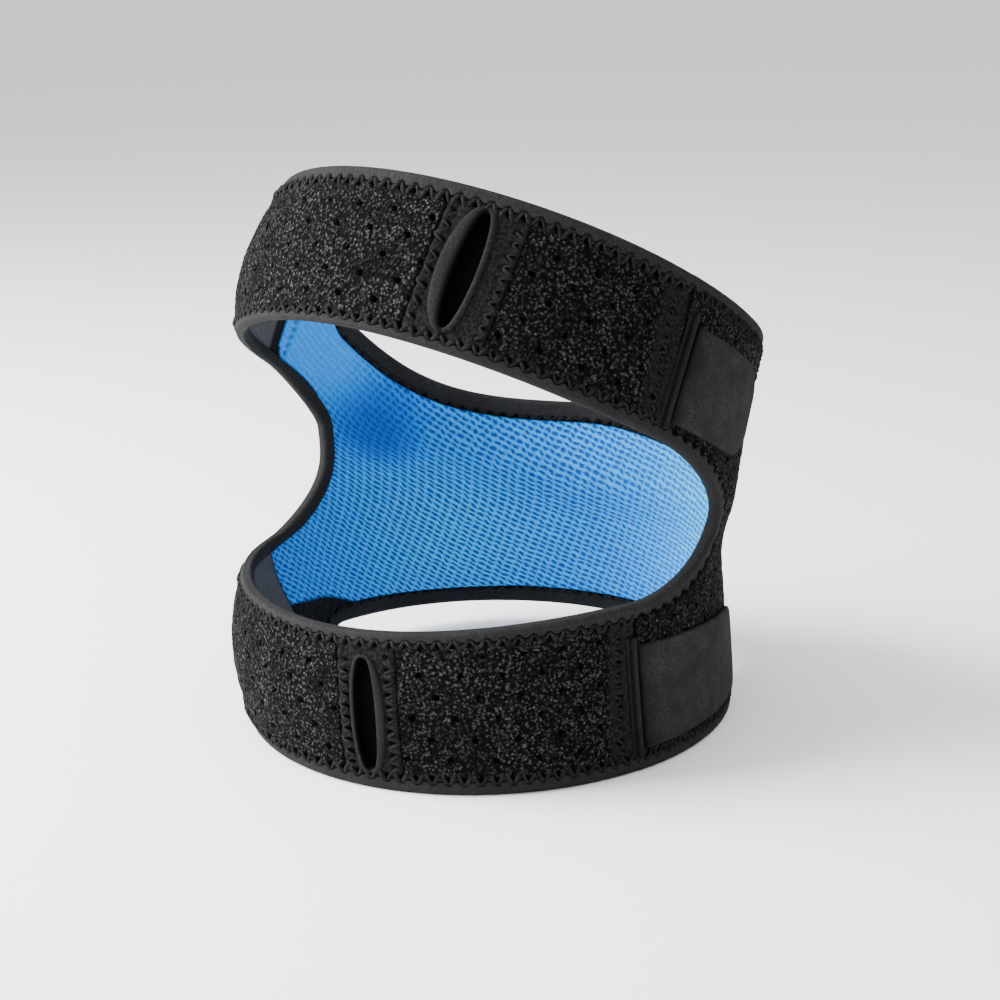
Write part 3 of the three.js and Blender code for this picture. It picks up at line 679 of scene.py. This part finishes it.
def padPiece(name, shape, offOuter, offBack, relief):
    # Two half grids that share the middle line of the body. relief(place) gives the face's height over
    # offOuter, its attributes and its map.
    isBody, halves = padSheet(shape["columns"])
    table = np.linspace(padGrid["mapFrom"], padGrid["mapTo"], padGrid["mapPoints"])
    run = lengthAlong(offSkin(table, padGrid["mapMiddle"], 0))
    run = run - np.interp(0, table, run)
    # millimetres up the skin from its foot, at even angles and heights
    steps = np.linspace(0, 3, padGrid["mapHeights"])
    risen = lengthUp(offSkin(*np.meshgrid(table, steps, indexing="ij"), 0))

    def upFrom(angle, height):
        i = np.clip((angle - table[0]) / (table[1] - table[0]), 0, len(table) - 1.001)
        j = np.clip(height / steps[1], 0, len(steps) - 1.001)
        p, q, u, w = i.astype(int), j.astype(int), i % 1, j % 1
        low = risen[p, q] * (1 - u) + risen[p + 1, q] * u
        return low * (1 - w) + (risen[p, q + 1] * (1 - u) + risen[p + 1, q + 1] * u) * w

    parts, numbers, ngons, values, uv, count = [], [], [], {}, [], 0
    outward = 1 if offOuter > offBack else -1
    for isUpper, routes in enumerate(halves):
        angle, height = between(routes, shape["rows"])
        backAngle, backHeight = between(routes, padGrid["backRows"])
        face = offSkin(angle, height, offOuter)
        y = lengthUp(face)
        total = y[:, -1:]
        fromLeft = lengthAlong(face)
        nearest = np.where(isBody[:, None], total - y if isUpper else y, np.minimum(y, total - y))
        nearest = np.minimum(nearest, np.minimum(fromLeft, fromLeft[-1] - fromLeft) + pileRelief["endMargin"])
        place = dict(x=np.interp(angle, table, run), y=upFrom(angle, height), angle=angle, height=height,
                     fromEdge=nearest, fromLeft=fromLeft, fromLow=y, fromHigh=total - y)
        high, attributes, clothMap = relief(place)
        face = offSkin(angle, height, offOuter + outward * high)
        back = offSkin(backAngle, backHeight, offBack)
        front = np.arange(height.size).reshape(height.shape) + count
        count += front.size
        rear = np.arange(backHeight.size).reshape(backHeight.shape) + count
        count += rear.size
        parts += [face.reshape(-1, 3), back.reshape(-1, 3)]
        for key, value in attributes.items():
            values.setdefault(key, []).extend([value.ravel(), np.zeros(rear.size)])
        uv += [np.stack(clothMap, -1).reshape(-1, 2), np.zeros((rear.size, 2))]
        numbers.append((front, rear))
    (frontLow, rearLow), (frontHigh, rearHigh) = numbers
    frontHigh[:, 0] = np.where(isBody, frontLow[:, -1], frontHigh[:, 0])
    rearHigh[:, 0] = np.where(isBody, rearLow[:, -1], rearHigh[:, 0])
    faces = [quadsOf(frontLow), quadsOf(frontHigh), quadsOf(rearLow)[:, ::-1], quadsOf(rearHigh)[:, ::-1],
             quadsOf(np.stack([frontLow[:, 0], rearLow[:, 0]], 1))[:, ::-1],
             quadsOf(np.stack([frontHigh[:, -1], rearHigh[:, -1]], 1))]
    wingPairs = ~(isBody[:-1] & isBody[1:])
    faces.append(quadsOf(np.stack([frontLow[:, -1], rearLow[:, -1]], 1))[wingPairs])
    faces.append(quadsOf(np.stack([frontHigh[:, 0], rearHigh[:, 0]], 1))[wingPairs][:, ::-1])
    for front, rear in numbers:
        ngons += [np.concatenate([front[0], rear[0, ::-1]]), np.concatenate([front[-1, ::-1], rear[-1]])]
    values = {key: np.concatenate(value) for key, value in values.items()}
    return makePiece(name, np.concatenate(parts), np.concatenate(faces), ngons, values, np.concatenate(uv))


knitShape = dict(
    columns=1.6, rows=70,  # columns in a degree
    pitch=2.75, rowPitch=2.0, leftSlope=-38, rightSlope=-9, slopeFrom=-105, slopeTo=30, shear=0.3,
    bump=2.2, sink=0.7, ripple=0.25, rippleSize=14, edgeRound=0.8, edgeDrop=0.7,
    swelling=dict(x=-66, height=0.8, wide=36, tall=0.55),  # soft, low on the left side
    hollow=dict(x=-84, height=1.8, wide=17, tall=0.42),  # above it
    # painted light and shade over the lining: lighter on the swelling and to the right, darker in the hollow
    # and far left
    paintedLightShade=dict(ground=0.42, swelling=0.5, hollow=0.42, right=0.45, rightRange=(5, 60), left=0.08,
              leftRange=(90, 115)),
    stretched=dict(heightRange=(1.75, 2.1), angleRange=(60, 78), flat=0.85, right=0.35, rightRange=(-20, 50)),
    corner=5.5, cornerRange=(-0.8, -0.3), upperFrom=1.95,
    blueFoot=dict(start=0.3, rise=0.11, riseRange=(74, 92), slope=0.0028, slopeFrom=80, soft=0.008),
    stitch=dict(angle=-99, pitch=2.6, perDegree=1.3, tall=0.6, range=(0.35, 1.0), dark=0.75, deep=0.4),
)


def bell(x, height, spot):  # e to the minus squared distance from the spot's middle
    return np.exp(-((x - spot["x"]) / spot["wide"]) ** 2 - ((height - spot["height"]) / spot["tall"]) ** 2)


def knitRelief(place):
    # Rows that fan out: their slope turns from one angle to another along the pad. The map holds the
    # numbers of the stitch and of the row; the shader draws the pits from them.
    k = knitShape
    x, y, angle, height = (place[key] for key in ("x", "y", "angle", "height"))
    table = np.linspace(-180, 140, 641)  # every half millimetre
    share = smoothstep(table, k["slopeFrom"], k["slopeTo"])
    slope = np.tan(np.radians(k["leftSlope"] + (k["rightSlope"] - k["leftSlope"]) * share))
    fall, run = np.cumsum(slope) * 0.5, np.cumsum(np.sqrt(1 + slope ** 2)) * 0.5
    row = (y - np.interp(x, table, fall)) / k["rowPitch"]
    stitch = (np.interp(x, table, run) + k["shear"] * y) / k["pitch"]
    swelling, hollow = bell(x, height, k["swelling"]), bell(x, height, k["hollow"])
    # painted light and shade, from the swelling, the hollow and the two ends
    t = k["paintedLightShade"]
    paintedLightShade = t["ground"] + t["swelling"] * swelling - t["hollow"] * hollow
    paintedLightShade = paintedLightShade + t["right"] * smoothstep(x, *t["rightRange"]) - t["left"] * smoothstep(-x, *t["leftRange"])
    s = k["stretched"]
    stretched = smoothstep(height, *s["heightRange"]) * smoothstep(-angle, *s["angleRange"])
    knit = (1 - s["flat"] * stretched) * (1 - s["right"] * smoothstep(x, *s["rightRange"]))
    # the upper left end is rounded off: black where a corner's circle leaves the cloth
    dx = np.maximum(k["corner"] - place["fromLeft"], 0)
    dy = np.maximum(k["corner"] - np.minimum(place["fromLow"], place["fromHigh"]), 0)
    isUpper = height > k["upperFrom"]
    border = smoothstep(np.hypot(dx, dy) - k["corner"], *k["cornerRange"]) * isUpper
    # the bottom edge is wider in the lower wing, so the blue ends higher there
    b = k["blueFoot"]
    blueFoot = b["start"] + b["rise"] * smoothstep(-angle, *b["riseRange"])
    blueFoot = blueFoot + b["slope"] * np.maximum(-angle - b["slopeFrom"], 0)
    inWing = angle < -b["riseRange"][0]
    border = np.maximum(border, smoothstep(blueFoot - height, -b["soft"], b["soft"]) * inWing)
    # a row of small stitches across the upper wing
    r = k["stitch"]
    beat = ((y / r["pitch"]) % 1 - 0.5) * r["pitch"]
    spot = 1 - smoothstep(np.hypot((angle - r["angle"]) * r["perDegree"], beat * r["tall"]), *r["range"])
    seam = spot * isUpper * (1 - border) * r["dark"]
    edge = 1 - np.clip(place["fromEdge"] / k["edgeRound"], 0, 1)
    high = k["bump"] * swelling - k["sink"] * hollow - k["edgeDrop"] * edge ** 2 - r["deep"] * seam
    high = high + k["ripple"] * softNoise(x, y, k["rippleSize"], 12)
    return high, {"knit": knit, "hole": np.maximum(seam, border), "paintedLightShade": np.clip(paintedLightShade, 0, 1)}, (stitch, row)


shellShape = dict(columns=2.1, rows=90, lump=0.7, gap=0.8, seed=21)  # columns in a degree


def shellRelief(place):  # pile with stitch lumps along its edges, less the perforations
    x, y, fromEdge = place["x"], place["y"], place["fromEdge"]
    hole = perforations(x, y, fromEdge)
    lumps, gaps = stitchLumps(x, fromEdge)
    high = pileHeight(x, y, fromEdge, lumps, shellShape["seed"]) - hole * pileRelief["holeDeep"]
    high = high + shellShape["lump"] * lumps - shellShape["gap"] * gaps
    # painted shade in the perforations and in the gaps between stitch mounds
    return high, {"hole": np.maximum(hole, gaps), "smoothPart": lumps}, (x, y)


padShell = padPiece("padShell", shellShape, 0, -cloth["pile"], shellRelief)
dress(padShell, "pile", "loop_pile", "pad_shell")
padLining = padPiece("padMeshLining", knitShape, -depth, -cloth["pile"] - cloth["gap"], knitRelief)
dress(padLining, "mesh", "mesh_lining", "pad_lining")
print("pad cloths:", len(padShell.data.vertices), len(padLining.data.vertices), "vertices")

padRims = []
for edge, key, left, side, where in ((padHead, "head", "upperLeft", 1, "Top"),
                                     (padFoot, "foot", "lowerLeftFoot", -1, "Bottom")):
    angle = np.linspace(padEnds[left], padEnds["right"], padGrid["rimPoints"])
    share = tapeShare(angle, padRim[key])
    padRims.append(((angle, edge(angle)), share, side))
    boundEdge(f"pad{where}Edge", padRims[-1][0], tapeShape["pad"], side, f"pad_{where.lower()}_binding",
              share, "both")
for key, side, pits in (("left", -1, "none"), ("right", 1, "outer")):
    boundEdge(key + "OpeningEdge", openingEnd(key), tapeShape["strap"], side, key + "_opening_binding",
              pits=pits)
print("pad edges made")


# The two straps

slits = {
    "upper": dict(topAngle=153, bottomAngle=157, top=2.87, bottom=2.14, halfWidth=3.1, full=1.0,
                  lipLeft=4.6, lipRight=1.5, facingLeft=11.4, facingRight=12.2, seamLeft=9.5, seamRight=10.6,
                  pitchLeft=4.4, pitchRight=3.4, darkLip=2.0),
    "lower": dict(topAngle=169, bottomAngle=167.5, top=0.84, bottom=0.13, halfWidth=3.0, full=0.7,
                  lipLeft=1.5, lipRight=2.6, facingLeft=8.3, facingRight=9.6, seamLeft=6.3, seamRight=7.7,
                  pitchLeft=3.4, pitchRight=3.6, darkLip=0.6),
}
tabs = {
    "upper": dict(footFrom=106, headFrom=103.3, to=73.5, foot=2.11, head=2.72, drop=0, corner=11,
                  seam=110.6),
    "lower": dict(footFrom=105.2, headFrom=106.4, to=57, foot=0.14, head=0.77, drop=0.06, corner=9,
                  seam=111.2),
}
strapShape = dict(
    rows=84, backRows=5, columns=460, rimPoints=470, seed=31,
    perDegree=1.3,  # about 1.3 mm to a degree of the loop
    facingSoft=0.3, tabFacing=(106, 108), tabFacingEnd=(112.5, 114), tabPitch=3.4,
    seamRange=(2.5, 3.5), moundAt=0.6, moundWide=1.2, gapAt=-0.8, gapWide=0.9, lump=0.75, gap=0.9,
    lumpSmooth=0.85, pocket=1.7, pocketEdge=0.9, pocketSoft=0.7,
    grooveLeft=0.45, grooveRight=0.3, grooveDeep=0.45, grooveDark=0.85,
)
strapBack = dict(rows=40, skip=13, waveHigh=0.12, waveSize=9, edgeDrop=0.6, edgeRound=1.2, dark=0.9,
                 sewn={"upper": (3.0, 4.0), "lower": (0.3, 0.9)})  # where the pad's end is sewn on


def slitMiddle(slit, along):  # the angle of the slit's leaning middle line
    return slit["bottomAngle"] + (slit["topAngle"] - slit["bottomAngle"]) * along


def slitPlace(slit, angle, height):
    # Signed millimetres from the slit's middle line, and the slit's half width at that height.
    along = (height - slit["bottom"]) / (slit["top"] - slit["bottom"])
    around = np.linalg.norm(skinFrame(angle, height)[0], axis=-1)
    inside = np.sqrt(np.clip(4 * along * (1 - along), 0, 1))  # sine of the turn round the almond
    return (angle - slitMiddle(slit, along)) * around, slit["halfWidth"] * inside ** slit["full"], along


def strapEnds(foot):  # the angles of a strap's left end at its foot and head
    turn = 360 + padEnds["overlap"]
    if foot == 2:
        return [padEnds["upperLeft"] + turn] * 2
    return [padEnds["lowerLeftFoot"] + turn, padEnds["lowerLeftHead"] + turn]


def strapRim(foot, atHead, count=strapShape["rimPoints"]):
    angle = np.linspace(padEnds["right"] - padEnds["overlap"], strapEnds(foot)[atHead], count)
    return angle, np.full(count, (foot + atHead) * 1.0)


def strapRoutes(foot):  # the strap's two rims, and its cloth's low and high edges
    rims = [strapRim(foot, k, strapShape["columns"]) for k in (0, 1)]
    edges = [shifted(rim, tapeShape["strap"] - tapeOverlap, side) for rim, side in zip(rims, (-1, 1))]
    return rims, edges


def strapPile(name, foot):
    # Pile with smooth facings beside the slit and the tab, lumps and gaps along every seam, grooves at the
    # facings' outer edges and a pocket sunk behind the slit's almond.
    s, slit = strapShape, slits[name]
    rims, routes = strapRoutes(foot)
    a, height = between(routes, s["rows"])
    flat = offSkin(a, height, 0)
    y = lengthUp(flat)
    x = lengthAlong(flat[:, s["rows"] // 2])[:, None] + 0 * y
    fromEdge = fromRims(x, y, pileRelief["endMargin"])
    left, halfWidth, along = slitPlace(slit, a, height)
    right = -left
    facing = smoothstep(slit["facingLeft"] - left, -s["facingSoft"], s["facingSoft"])
    facing = facing * smoothstep(slit["facingRight"] - right, -s["facingSoft"], s["facingSoft"])
    hole = perforations(x, y, fromEdge) * (facing < 0.01)
    # the stitches' mounds beat with the length along each rim
    lumps, gaps = 0, 0
    for rim, distance in ((rims[0], y), (rims[1], y[:, -1:] - y)):
        beat = np.interp(a, rim[0], lengthAlong(offSkin(*rim, 0)))
        rimLumps, rimGaps = stitchLumps(beat, distance)
        lumps, gaps = np.maximum(lumps, rimLumps), np.maximum(gaps, rimGaps)
    inner = smoothstep(fromEdge, *s["seamRange"])
    seams = [(left - slit["seamLeft"], slit["pitchLeft"]), (right - slit["seamRight"], slit["pitchRight"]),
             ((a - tabs[name]["seam"]) * s["perDegree"], s["tabPitch"])]
    for offset, pitch in seams:
        beat = 0.5 * np.cos(2 * np.pi * y / pitch)
        mound = (0.5 - beat) * np.exp(-((offset - s["moundAt"]) / s["moundWide"]) ** 2) * inner
        gap = (0.5 + beat) ** 3 * np.exp(-((offset - s["gapAt"]) / s["gapWide"]) ** 2) * inner
        lumps, gaps = np.maximum(lumps, mound), np.maximum(gaps, gap)
    end = smoothstep(a, *s["tabFacing"]) * (1 - smoothstep(a, *s["tabFacingEnd"]))
    smoothPart = np.clip(np.maximum(np.maximum(facing, end), lumps * s["lumpSmooth"]), 0, 1)
    high = pileHeight(x, y, fromEdge, smoothPart, s["seed"] + foot) - hole * pileRelief["holeDeep"]
    high = high + s["lump"] * lumps - s["gap"] * gaps
    pocket = smoothstep(halfWidth + s["pocketEdge"] - np.abs(left), 0, s["pocketSoft"])
    pocket = pocket * (along > 0) * (along < 1)
    groove = np.exp(-((left - slit["facingLeft"]) / s["grooveLeft"]) ** 2)
    groove = groove + np.exp(-((right - slit["facingRight"]) / s["grooveRight"]) ** 2)
    high = high * (1 - pocket) - s["pocket"] * pocket - s["grooveDeep"] * groove * (1 - pocket)
    # painted shade in the perforations, the slit's pocket, the gaps between stitch mounds and the grooves
    dark = np.maximum(np.maximum(hole, pocket), np.maximum(gaps, np.clip(groove, 0, 1) * s["grooveDark"]))
    back = offSkin(*between(routes, s["backRows"]), -cloth["pile"])
    rest = np.zeros(back[..., 0].size)  # nothing is drawn on the back
    points, quads, ends = slab(offSkin(a, height, high), back)
    values = {"hole": dark, "smoothPart": smoothPart}
    values = {key: np.concatenate([value.ravel(), rest]) for key, value in values.items()}
    uv = np.concatenate([np.stack([x, y], -1).reshape(-1, 2) / 1000, np.zeros((len(rest), 2))])
    piece = makePiece(name + "StrapPile", points, quads, ends, values, uv)
    return dress(piece, "pile", "loop_pile", name + "_strap")


def strapLining(name, foot):
    # The smooth layer behind, in soft waves, its edges turning toward the pile as a parabola.
    s = strapBack
    a, height = between([(angle[::2], edge[::2]) for angle, edge in strapRoutes(foot)[1]], s["rows"])
    flat = offSkin(a, height, -depth)
    y, x = lengthUp(flat), lengthAlong(flat)
    wave = s["waveHigh"] * softNoise(x, y, s["waveSize"], 41)
    turnedIn = s["edgeDrop"] * (1 - np.clip(np.minimum(y, y[:, -1:] - y) / s["edgeRound"], 0, 1)) ** 2
    back = offSkin(a[:, ::s["skip"]], height[:, ::s["skip"]], -cloth["pile"] - cloth["gap"])
    points, quads, ends = slab(offSkin(a, height, -depth + wave + turnedIn), back)
    sewn = 1 - smoothstep(x[-1:] - x, *s["sewn"][name])
    black = np.concatenate([sewn.ravel(), np.zeros(back[..., 0].size)])
    piece = makePiece(name + "StrapLining", points, quads, ends, {"hole": black * s["dark"]})
    return dress(piece, "strapLining", "strap_lining", name + "_strap_lining")


lipShape = dict(points=160, arcPoints=21, tipWidth=0.35, tipFull=0.6, high=0.75, full=0.7, innerFoot=-1.6,
                outerFoot=-0.5, floor=-1.62, floorInset=0.1, darkFrom=0.1, dark=0.95)


def slitLip(name):
    # A rounded lip swept round the almond: a half turn from its inner to its outer foot, wider on one side
    # and narrow at the two tips, closed by a flat floor.
    s, slit = lipShape, slits[name]
    turn = np.linspace(0, 2 * np.pi, s["points"], endpoint=False)
    along = 0.5 + 0.5 * np.cos(turn)
    centre = slitMiddle(slit, along)
    height = slit["bottom"] + (slit["top"] - slit["bottom"]) * along
    around = np.linalg.norm(skinFrame(centre, height)[0], axis=-1)
    bulge = np.sign(np.sin(turn)) * np.abs(np.sin(turn)) ** slit["full"]
    angle = centre + slit["halfWidth"] * bulge / around
    stepA, stepH = stepsAcross(angle, height, -1, closed=True)
    width = slit["lipRight"] + (slit["lipLeft"] - slit["lipRight"]) * (0.5 + 0.5 * np.sin(turn))
    width = width * (s["tipWidth"] + (1 - s["tipWidth"]) * np.abs(np.sin(turn)) ** s["tipFull"])
    arc = np.linspace(0, np.pi, s["arcPoints"])
    across = (0.5 - 0.5 * np.cos(arc))[None] * width[:, None]
    # painted shade on the wider side: darkest at the inner foot, where the lip rolls into the slit, fading
    # outward
    shade = 1 - smoothstep(across, s["darkFrom"], slit["darkLip"])
    off = np.tile(s["high"] * np.sin(arc) ** s["full"], (len(turn), 1))
    off[:, 0], off[:, -1] = s["innerFoot"], s["outerFoot"]
    floorPart = np.stack([width * (1 - s["floorInset"]), width * s["floorInset"]], 1)
    across = np.concatenate([across, floorPart], 1)
    off = np.concatenate([off, np.full(floorPart.shape, s["floor"])], 1)
    shade = np.concatenate([shade, 0 * floorPart], 1) * (np.sin(turn) > 0)[:, None]
    points = offSkin(angle[:, None] + across * stepA[:, None], height[:, None] + across * stepH[:, None], off)
    index = np.arange(points[..., 0].size).reshape(points.shape[:2])
    piece = makePiece(name + "SlitLip", points.reshape(-1, 3), quadsOf(index, True, True), (),
                      {"hole": shade.ravel() * s["dark"]})
    return dress(piece, "lip", "slit_lip", name + "_slit_lip")


def roundedSlab(lowRoute, highRoute, rows, edge, bulge, shade):
    # A tab's thickness of cloth with rounded rims: its face drops by part of a quarter circle within the
    # edge distance of its outline. bulge(x, y, fromEdge) is added to the face, and shade(x) darkens it.
    share = swing(np.linspace(0, 1, rows))
    a, height = (low[:, None] + (high - low)[:, None] * share for low, high in zip(lowRoute, highRoute))
    flat = offSkin(a, height, 0)
    y = lengthUp(flat)
    x = lengthAlong(flat[:, rows // 2])[:, None] + 0 * y
    fromEdge = fromRims(x, y)
    side = 1 - np.clip(fromEdge / edge, 0, 1)
    drop = cloth["tab"] * tabShape["rimDrop"] * (1 - np.sqrt(np.maximum(1 - side ** 2, 0)))
    face = cloth["gap"] + cloth["tab"] - drop + bulge(x, y, fromEdge)
    coarse = [grid[:, [0, rows // 3, 2 * rows // 3, rows - 1]] for grid in (a, height)]
    back = offSkin(*coarse, cloth["gap"])
    dark = np.concatenate([shade(x).ravel(), np.zeros(back[..., 0].size)])
    return *slab(offSkin(a, height, face), back), {"hole": dark}


tabShape = dict(points=130, crowd=1.6, rows=60, edge=0.8, rimDrop=0.55, waveHigh=0.12, waveSize=11,
                waveFade=3, foldDark=0.75, foldWide=1.6, shadeDark=0.25, shadeWide=9)
tabLipShape = dict(parting=0.15, width=2.3, margin=0.05, points=24, rows=90, edge=0.5,
                   ridgeHigh=0.35, ridgeAt=0.9, ridgeWide=0.5, footDrop=0.75, footRange=(1.3, 2.3),
                   dark=0.8, darkRange=(1.3, 2.0), lightRange=(2.3, 3.0), startDark=0.9, startWide=0.25)


def tabEdges(tab, share):
    # Foot and head angles run to the free end, and both edges close in by a quarter circle at its corners.
    footAngle = tab["footFrom"] + (tab["to"] - tab["footFrom"]) * share
    headAngle = tab["headFrom"] + (tab["to"] - tab["headFrom"]) * share
    top = tab["head"] - tab["drop"] * share
    middle = (tab["foot"] + top) / 2
    around, up, _ = skinFrame((footAngle + headAngle) / 2, middle)
    fromEnd = ((footAngle + headAngle) / 2 - tab["to"]) * np.linalg.norm(around, axis=-1)
    inside = np.clip(1 - fromEnd / tab["corner"], 0, 1)
    cut = tab["corner"] * (1 - np.sqrt(np.maximum(1 - inside ** 2, 0))) / np.linalg.norm(up, axis=-1)
    half = (top - tab["foot"]) / 2 - cut
    return (footAngle, middle - half), (headAngle, middle + half)


def hookTab(name):  # a slab in soft waves, darker by its fold
    s = tabShape
    edges = tabEdges(tabs[name], 1 - (1 - np.linspace(0, 1, s["points"])) ** s["crowd"])

    def wave(x, y, fromEdge):
        return s["waveHigh"] * softNoise(x, y, s["waveSize"], 51) * np.clip(fromEdge / s["waveFade"], 0, 1)

    # painted shade by the fold where the tab comes out, and a broader one fading along the tab
    def shade(x):
        return s["foldDark"] * np.exp(-x / s["foldWide"]) + s["shadeDark"] * np.exp(-x / s["shadeWide"])

    body = roundedSlab(*edges, s["rows"], s["edge"], wave, shade)
    return dress(makePiece(name + "HookTab", *body), "tab", "hook_tab", name + "_hook_tab")


def tabLip(name):  # the lip that the tab comes out of: a thin ridge with its foot toward the strap
    s, tab = tabLipShape, tabs[name]
    turn = np.linspace(0, 1, s["points"]) * s["width"] + s["parting"]
    low = (tab["footFrom"] + turn, np.full(s["points"], tab["foot"] - s["margin"]))
    high = (tab["headFrom"] + turn, np.full(s["points"], tab["head"] + s["margin"]))

    def ridge(x, y, fromEdge):
        return (s["ridgeHigh"] * np.exp(-((x - s["ridgeAt"]) / s["ridgeWide"]) ** 2)
                - s["footDrop"] * smoothstep(x, *s["footRange"]))

    def shade(x):
        # painted shade at the foot of the ridge and at its start, beside the groove
        foot = s["dark"] * smoothstep(x, *s["darkRange"]) * (1 - smoothstep(x, *s["lightRange"]))
        return foot + s["startDark"] * np.exp(-x / s["startWide"])

    body = roundedSlab(low, high, s["rows"], s["edge"], ridge, shade)
    return dress(makePiece(name + "TabLip", *body), "lip", "slit_lip", name + "_tab_lip")


def threads(name, rows):  # rows of stitches as one piece
    points, quads, ends = joined(rows)
    piece = makePiece(name, points, quads, ends, {"hole": np.zeros(len(points))})
    return dress(piece, "thread", "bound_edge")


stitchShape = dict(near=3.6, far=6.3, rimPoints=500, rimOff=0.15, lowest=0.13, highest=0.87, points=200,
                   seamHalf=1.3, tabHalf=1.0, seamOff=0.1)


def strapStitches(name, foot):  # zigzags along both rims, both sides of the slit and the tab's seam
    s, slit = stitchShape, slits[name]
    thick, thin = threadShape["radius"], threadShape["radius"] * threadShape["seamShare"]
    rows = []
    for atHead, side in ((0, -1), (1, 1)):
        rim = strapRim(foot, atHead, s["rimPoints"])
        rows.append(zigzag(rim, side, s["near"], s["far"], pitShape["pitch"], thick, s["rimOff"]))
    height = np.linspace(foot + s["lowest"], foot + s["highest"], s["points"])
    centre = slitMiddle(slit, (height - slit["bottom"]) / (slit["top"] - slit["bottom"]))
    around = np.linalg.norm(skinFrame(centre, height)[0], axis=-1)
    for sign, key in ((1, "Left"), (-1, "Right")):
        seam, pitch = slit["seam" + key], slit["pitch" + key]
        route = (centre + sign * seam / around, height)
        rows.append(zigzag(route, sign, -s["seamHalf"], s["seamHalf"], pitch, thin, s["seamOff"]))
    tabSeam = (np.full(height.shape, tabs[name]["seam"]), height)
    rows.append(zigzag(tabSeam, 1, -s["tabHalf"], s["tabHalf"], strapShape["tabPitch"], thin, s["seamOff"]))
    return threads(name + "StrapStitches", rows)


for name, foot in (("upper", 2), ("lower", 0)):
    strapPile(name, foot)
    strapLining(name, foot)
    slitLip(name)
    hookTab(name)
    tabLip(name)
    for atHead, side, edge in ((0, -1, "Bottom"), (1, 1, "Top")):
        boundEdge(name + "Strap" + edge + "Edge", strapRim(foot, atHead), tapeShape["strap"], side,
                  f"{name}_strap_{edge.lower()}_binding")
    strapStitches(name, foot)
print("straps made")

# Threads along the pad's edges: a wide row outside, and a thin one on the blue side
padStitch = {
    "outside": dict(near=-0.9, far=2.0, pitch=pitShape["pitch"], radius=threadShape["radius"], off=0.15),
    "blueSide": dict(near=-1.6, far=-0.4, pitch=5.0, radius=0.3, off=-depth - 0.55, dip=-0.3),
}
padThreads = []
for route, share, side in padRims:
    inner = shifted(route, tapeShape["pad"] * share, side)
    padThreads += [zigzag(inner, side, **row) for row in padStitch.values()]
threads("padStitches", padThreads)


# Floor, light and camera

studio = dict(floorSize=60.0, floorColour=(0.94, 0.94, 0.94, 1), worldColour=(1, 1, 1, 1), worldStrength=1.1)
view = dict(azimuth=37.1, elevation=15.1, distance=603.49, height=70, lens=72, sensor=36,
            shiftX=0.00575, shiftY=-0.02143, clipNear=0.01, clipFar=20)
lights = {
    "key": dict(azimuth=-50, elevation=32, away=0.9, size=0.6, power=42),
    "fill": dict(azimuth=85, elevation=35, away=1.2, size=1.0, power=2.5),
    "top": dict(azimuth=20, elevation=80, away=1.0, size=0.9, power=5),
}

floorMesh = bpy.data.meshes.new("floor")
half = studio["floorSize"] / 2
corners = [(-half, -half, 0), (half, -half, 0), (half, half, 0), (-half, half, 0)]
floorMesh.from_pydata(corners, [], [(0, 1, 2, 3)])
floor = bpy.data.objects.new("floor", floorMesh)
bpy.context.scene.collection.objects.link(floor)
floorMaterial, _, floorShader = newMaterial("pale_floor", Roughness=0.9, Specular_IOR_Level=0.1)
floorShader.inputs["Base Color"].default_value = studio["floorColour"]
floorMesh.materials.append(floorMaterial)
floor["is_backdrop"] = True

world = bpy.data.worlds.new("studio")
world.use_nodes = True
world.node_tree.nodes["Background"].inputs["Color"].default_value = studio["worldColour"]
world.node_tree.nodes["Background"].inputs["Strength"].default_value = studio["worldStrength"]
bpy.context.scene.world = world

target = Vector((skinShape["originX"], skinShape["originY"], view["height"])) / 1000


def aim(thing, place):  # stands it at the place, looking at the target
    thing.location = place
    thing.rotation_euler = (place - target).to_track_quat("Z", "Y").to_euler()


def direction(azimuth, elevation):  # azimuth 0 is the front, turning to the right
    a, e = math.radians(azimuth), math.radians(elevation)
    return Vector((math.sin(a) * math.cos(e), -math.cos(a) * math.cos(e), math.sin(e)))


for name, light in lights.items():
    data = bpy.data.lights.new(name, "AREA")
    data.size, data.energy = light["size"], light["power"]
    lamp = bpy.data.objects.new(name, data)
    bpy.context.scene.collection.objects.link(lamp)
    aim(lamp, target + direction(light["azimuth"], light["elevation"]) * light["away"])

cameraData = bpy.data.cameras.new("camera")
cameraData.sensor_width, cameraData.lens = view["sensor"], view["lens"]
cameraData.shift_x, cameraData.shift_y = view["shiftX"], view["shiftY"]
cameraData.clip_start, cameraData.clip_end = view["clipNear"], view["clipFar"]
camera = bpy.data.objects.new("camera", cameraData)
bpy.context.scene.collection.objects.link(camera)
aim(camera, target + direction(view["azimuth"], view["elevation"]) * view["distance"] / 1000)
bpy.context.scene.camera = camera
print("stage, light and camera set")

lookBox = [list(corner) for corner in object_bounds()]
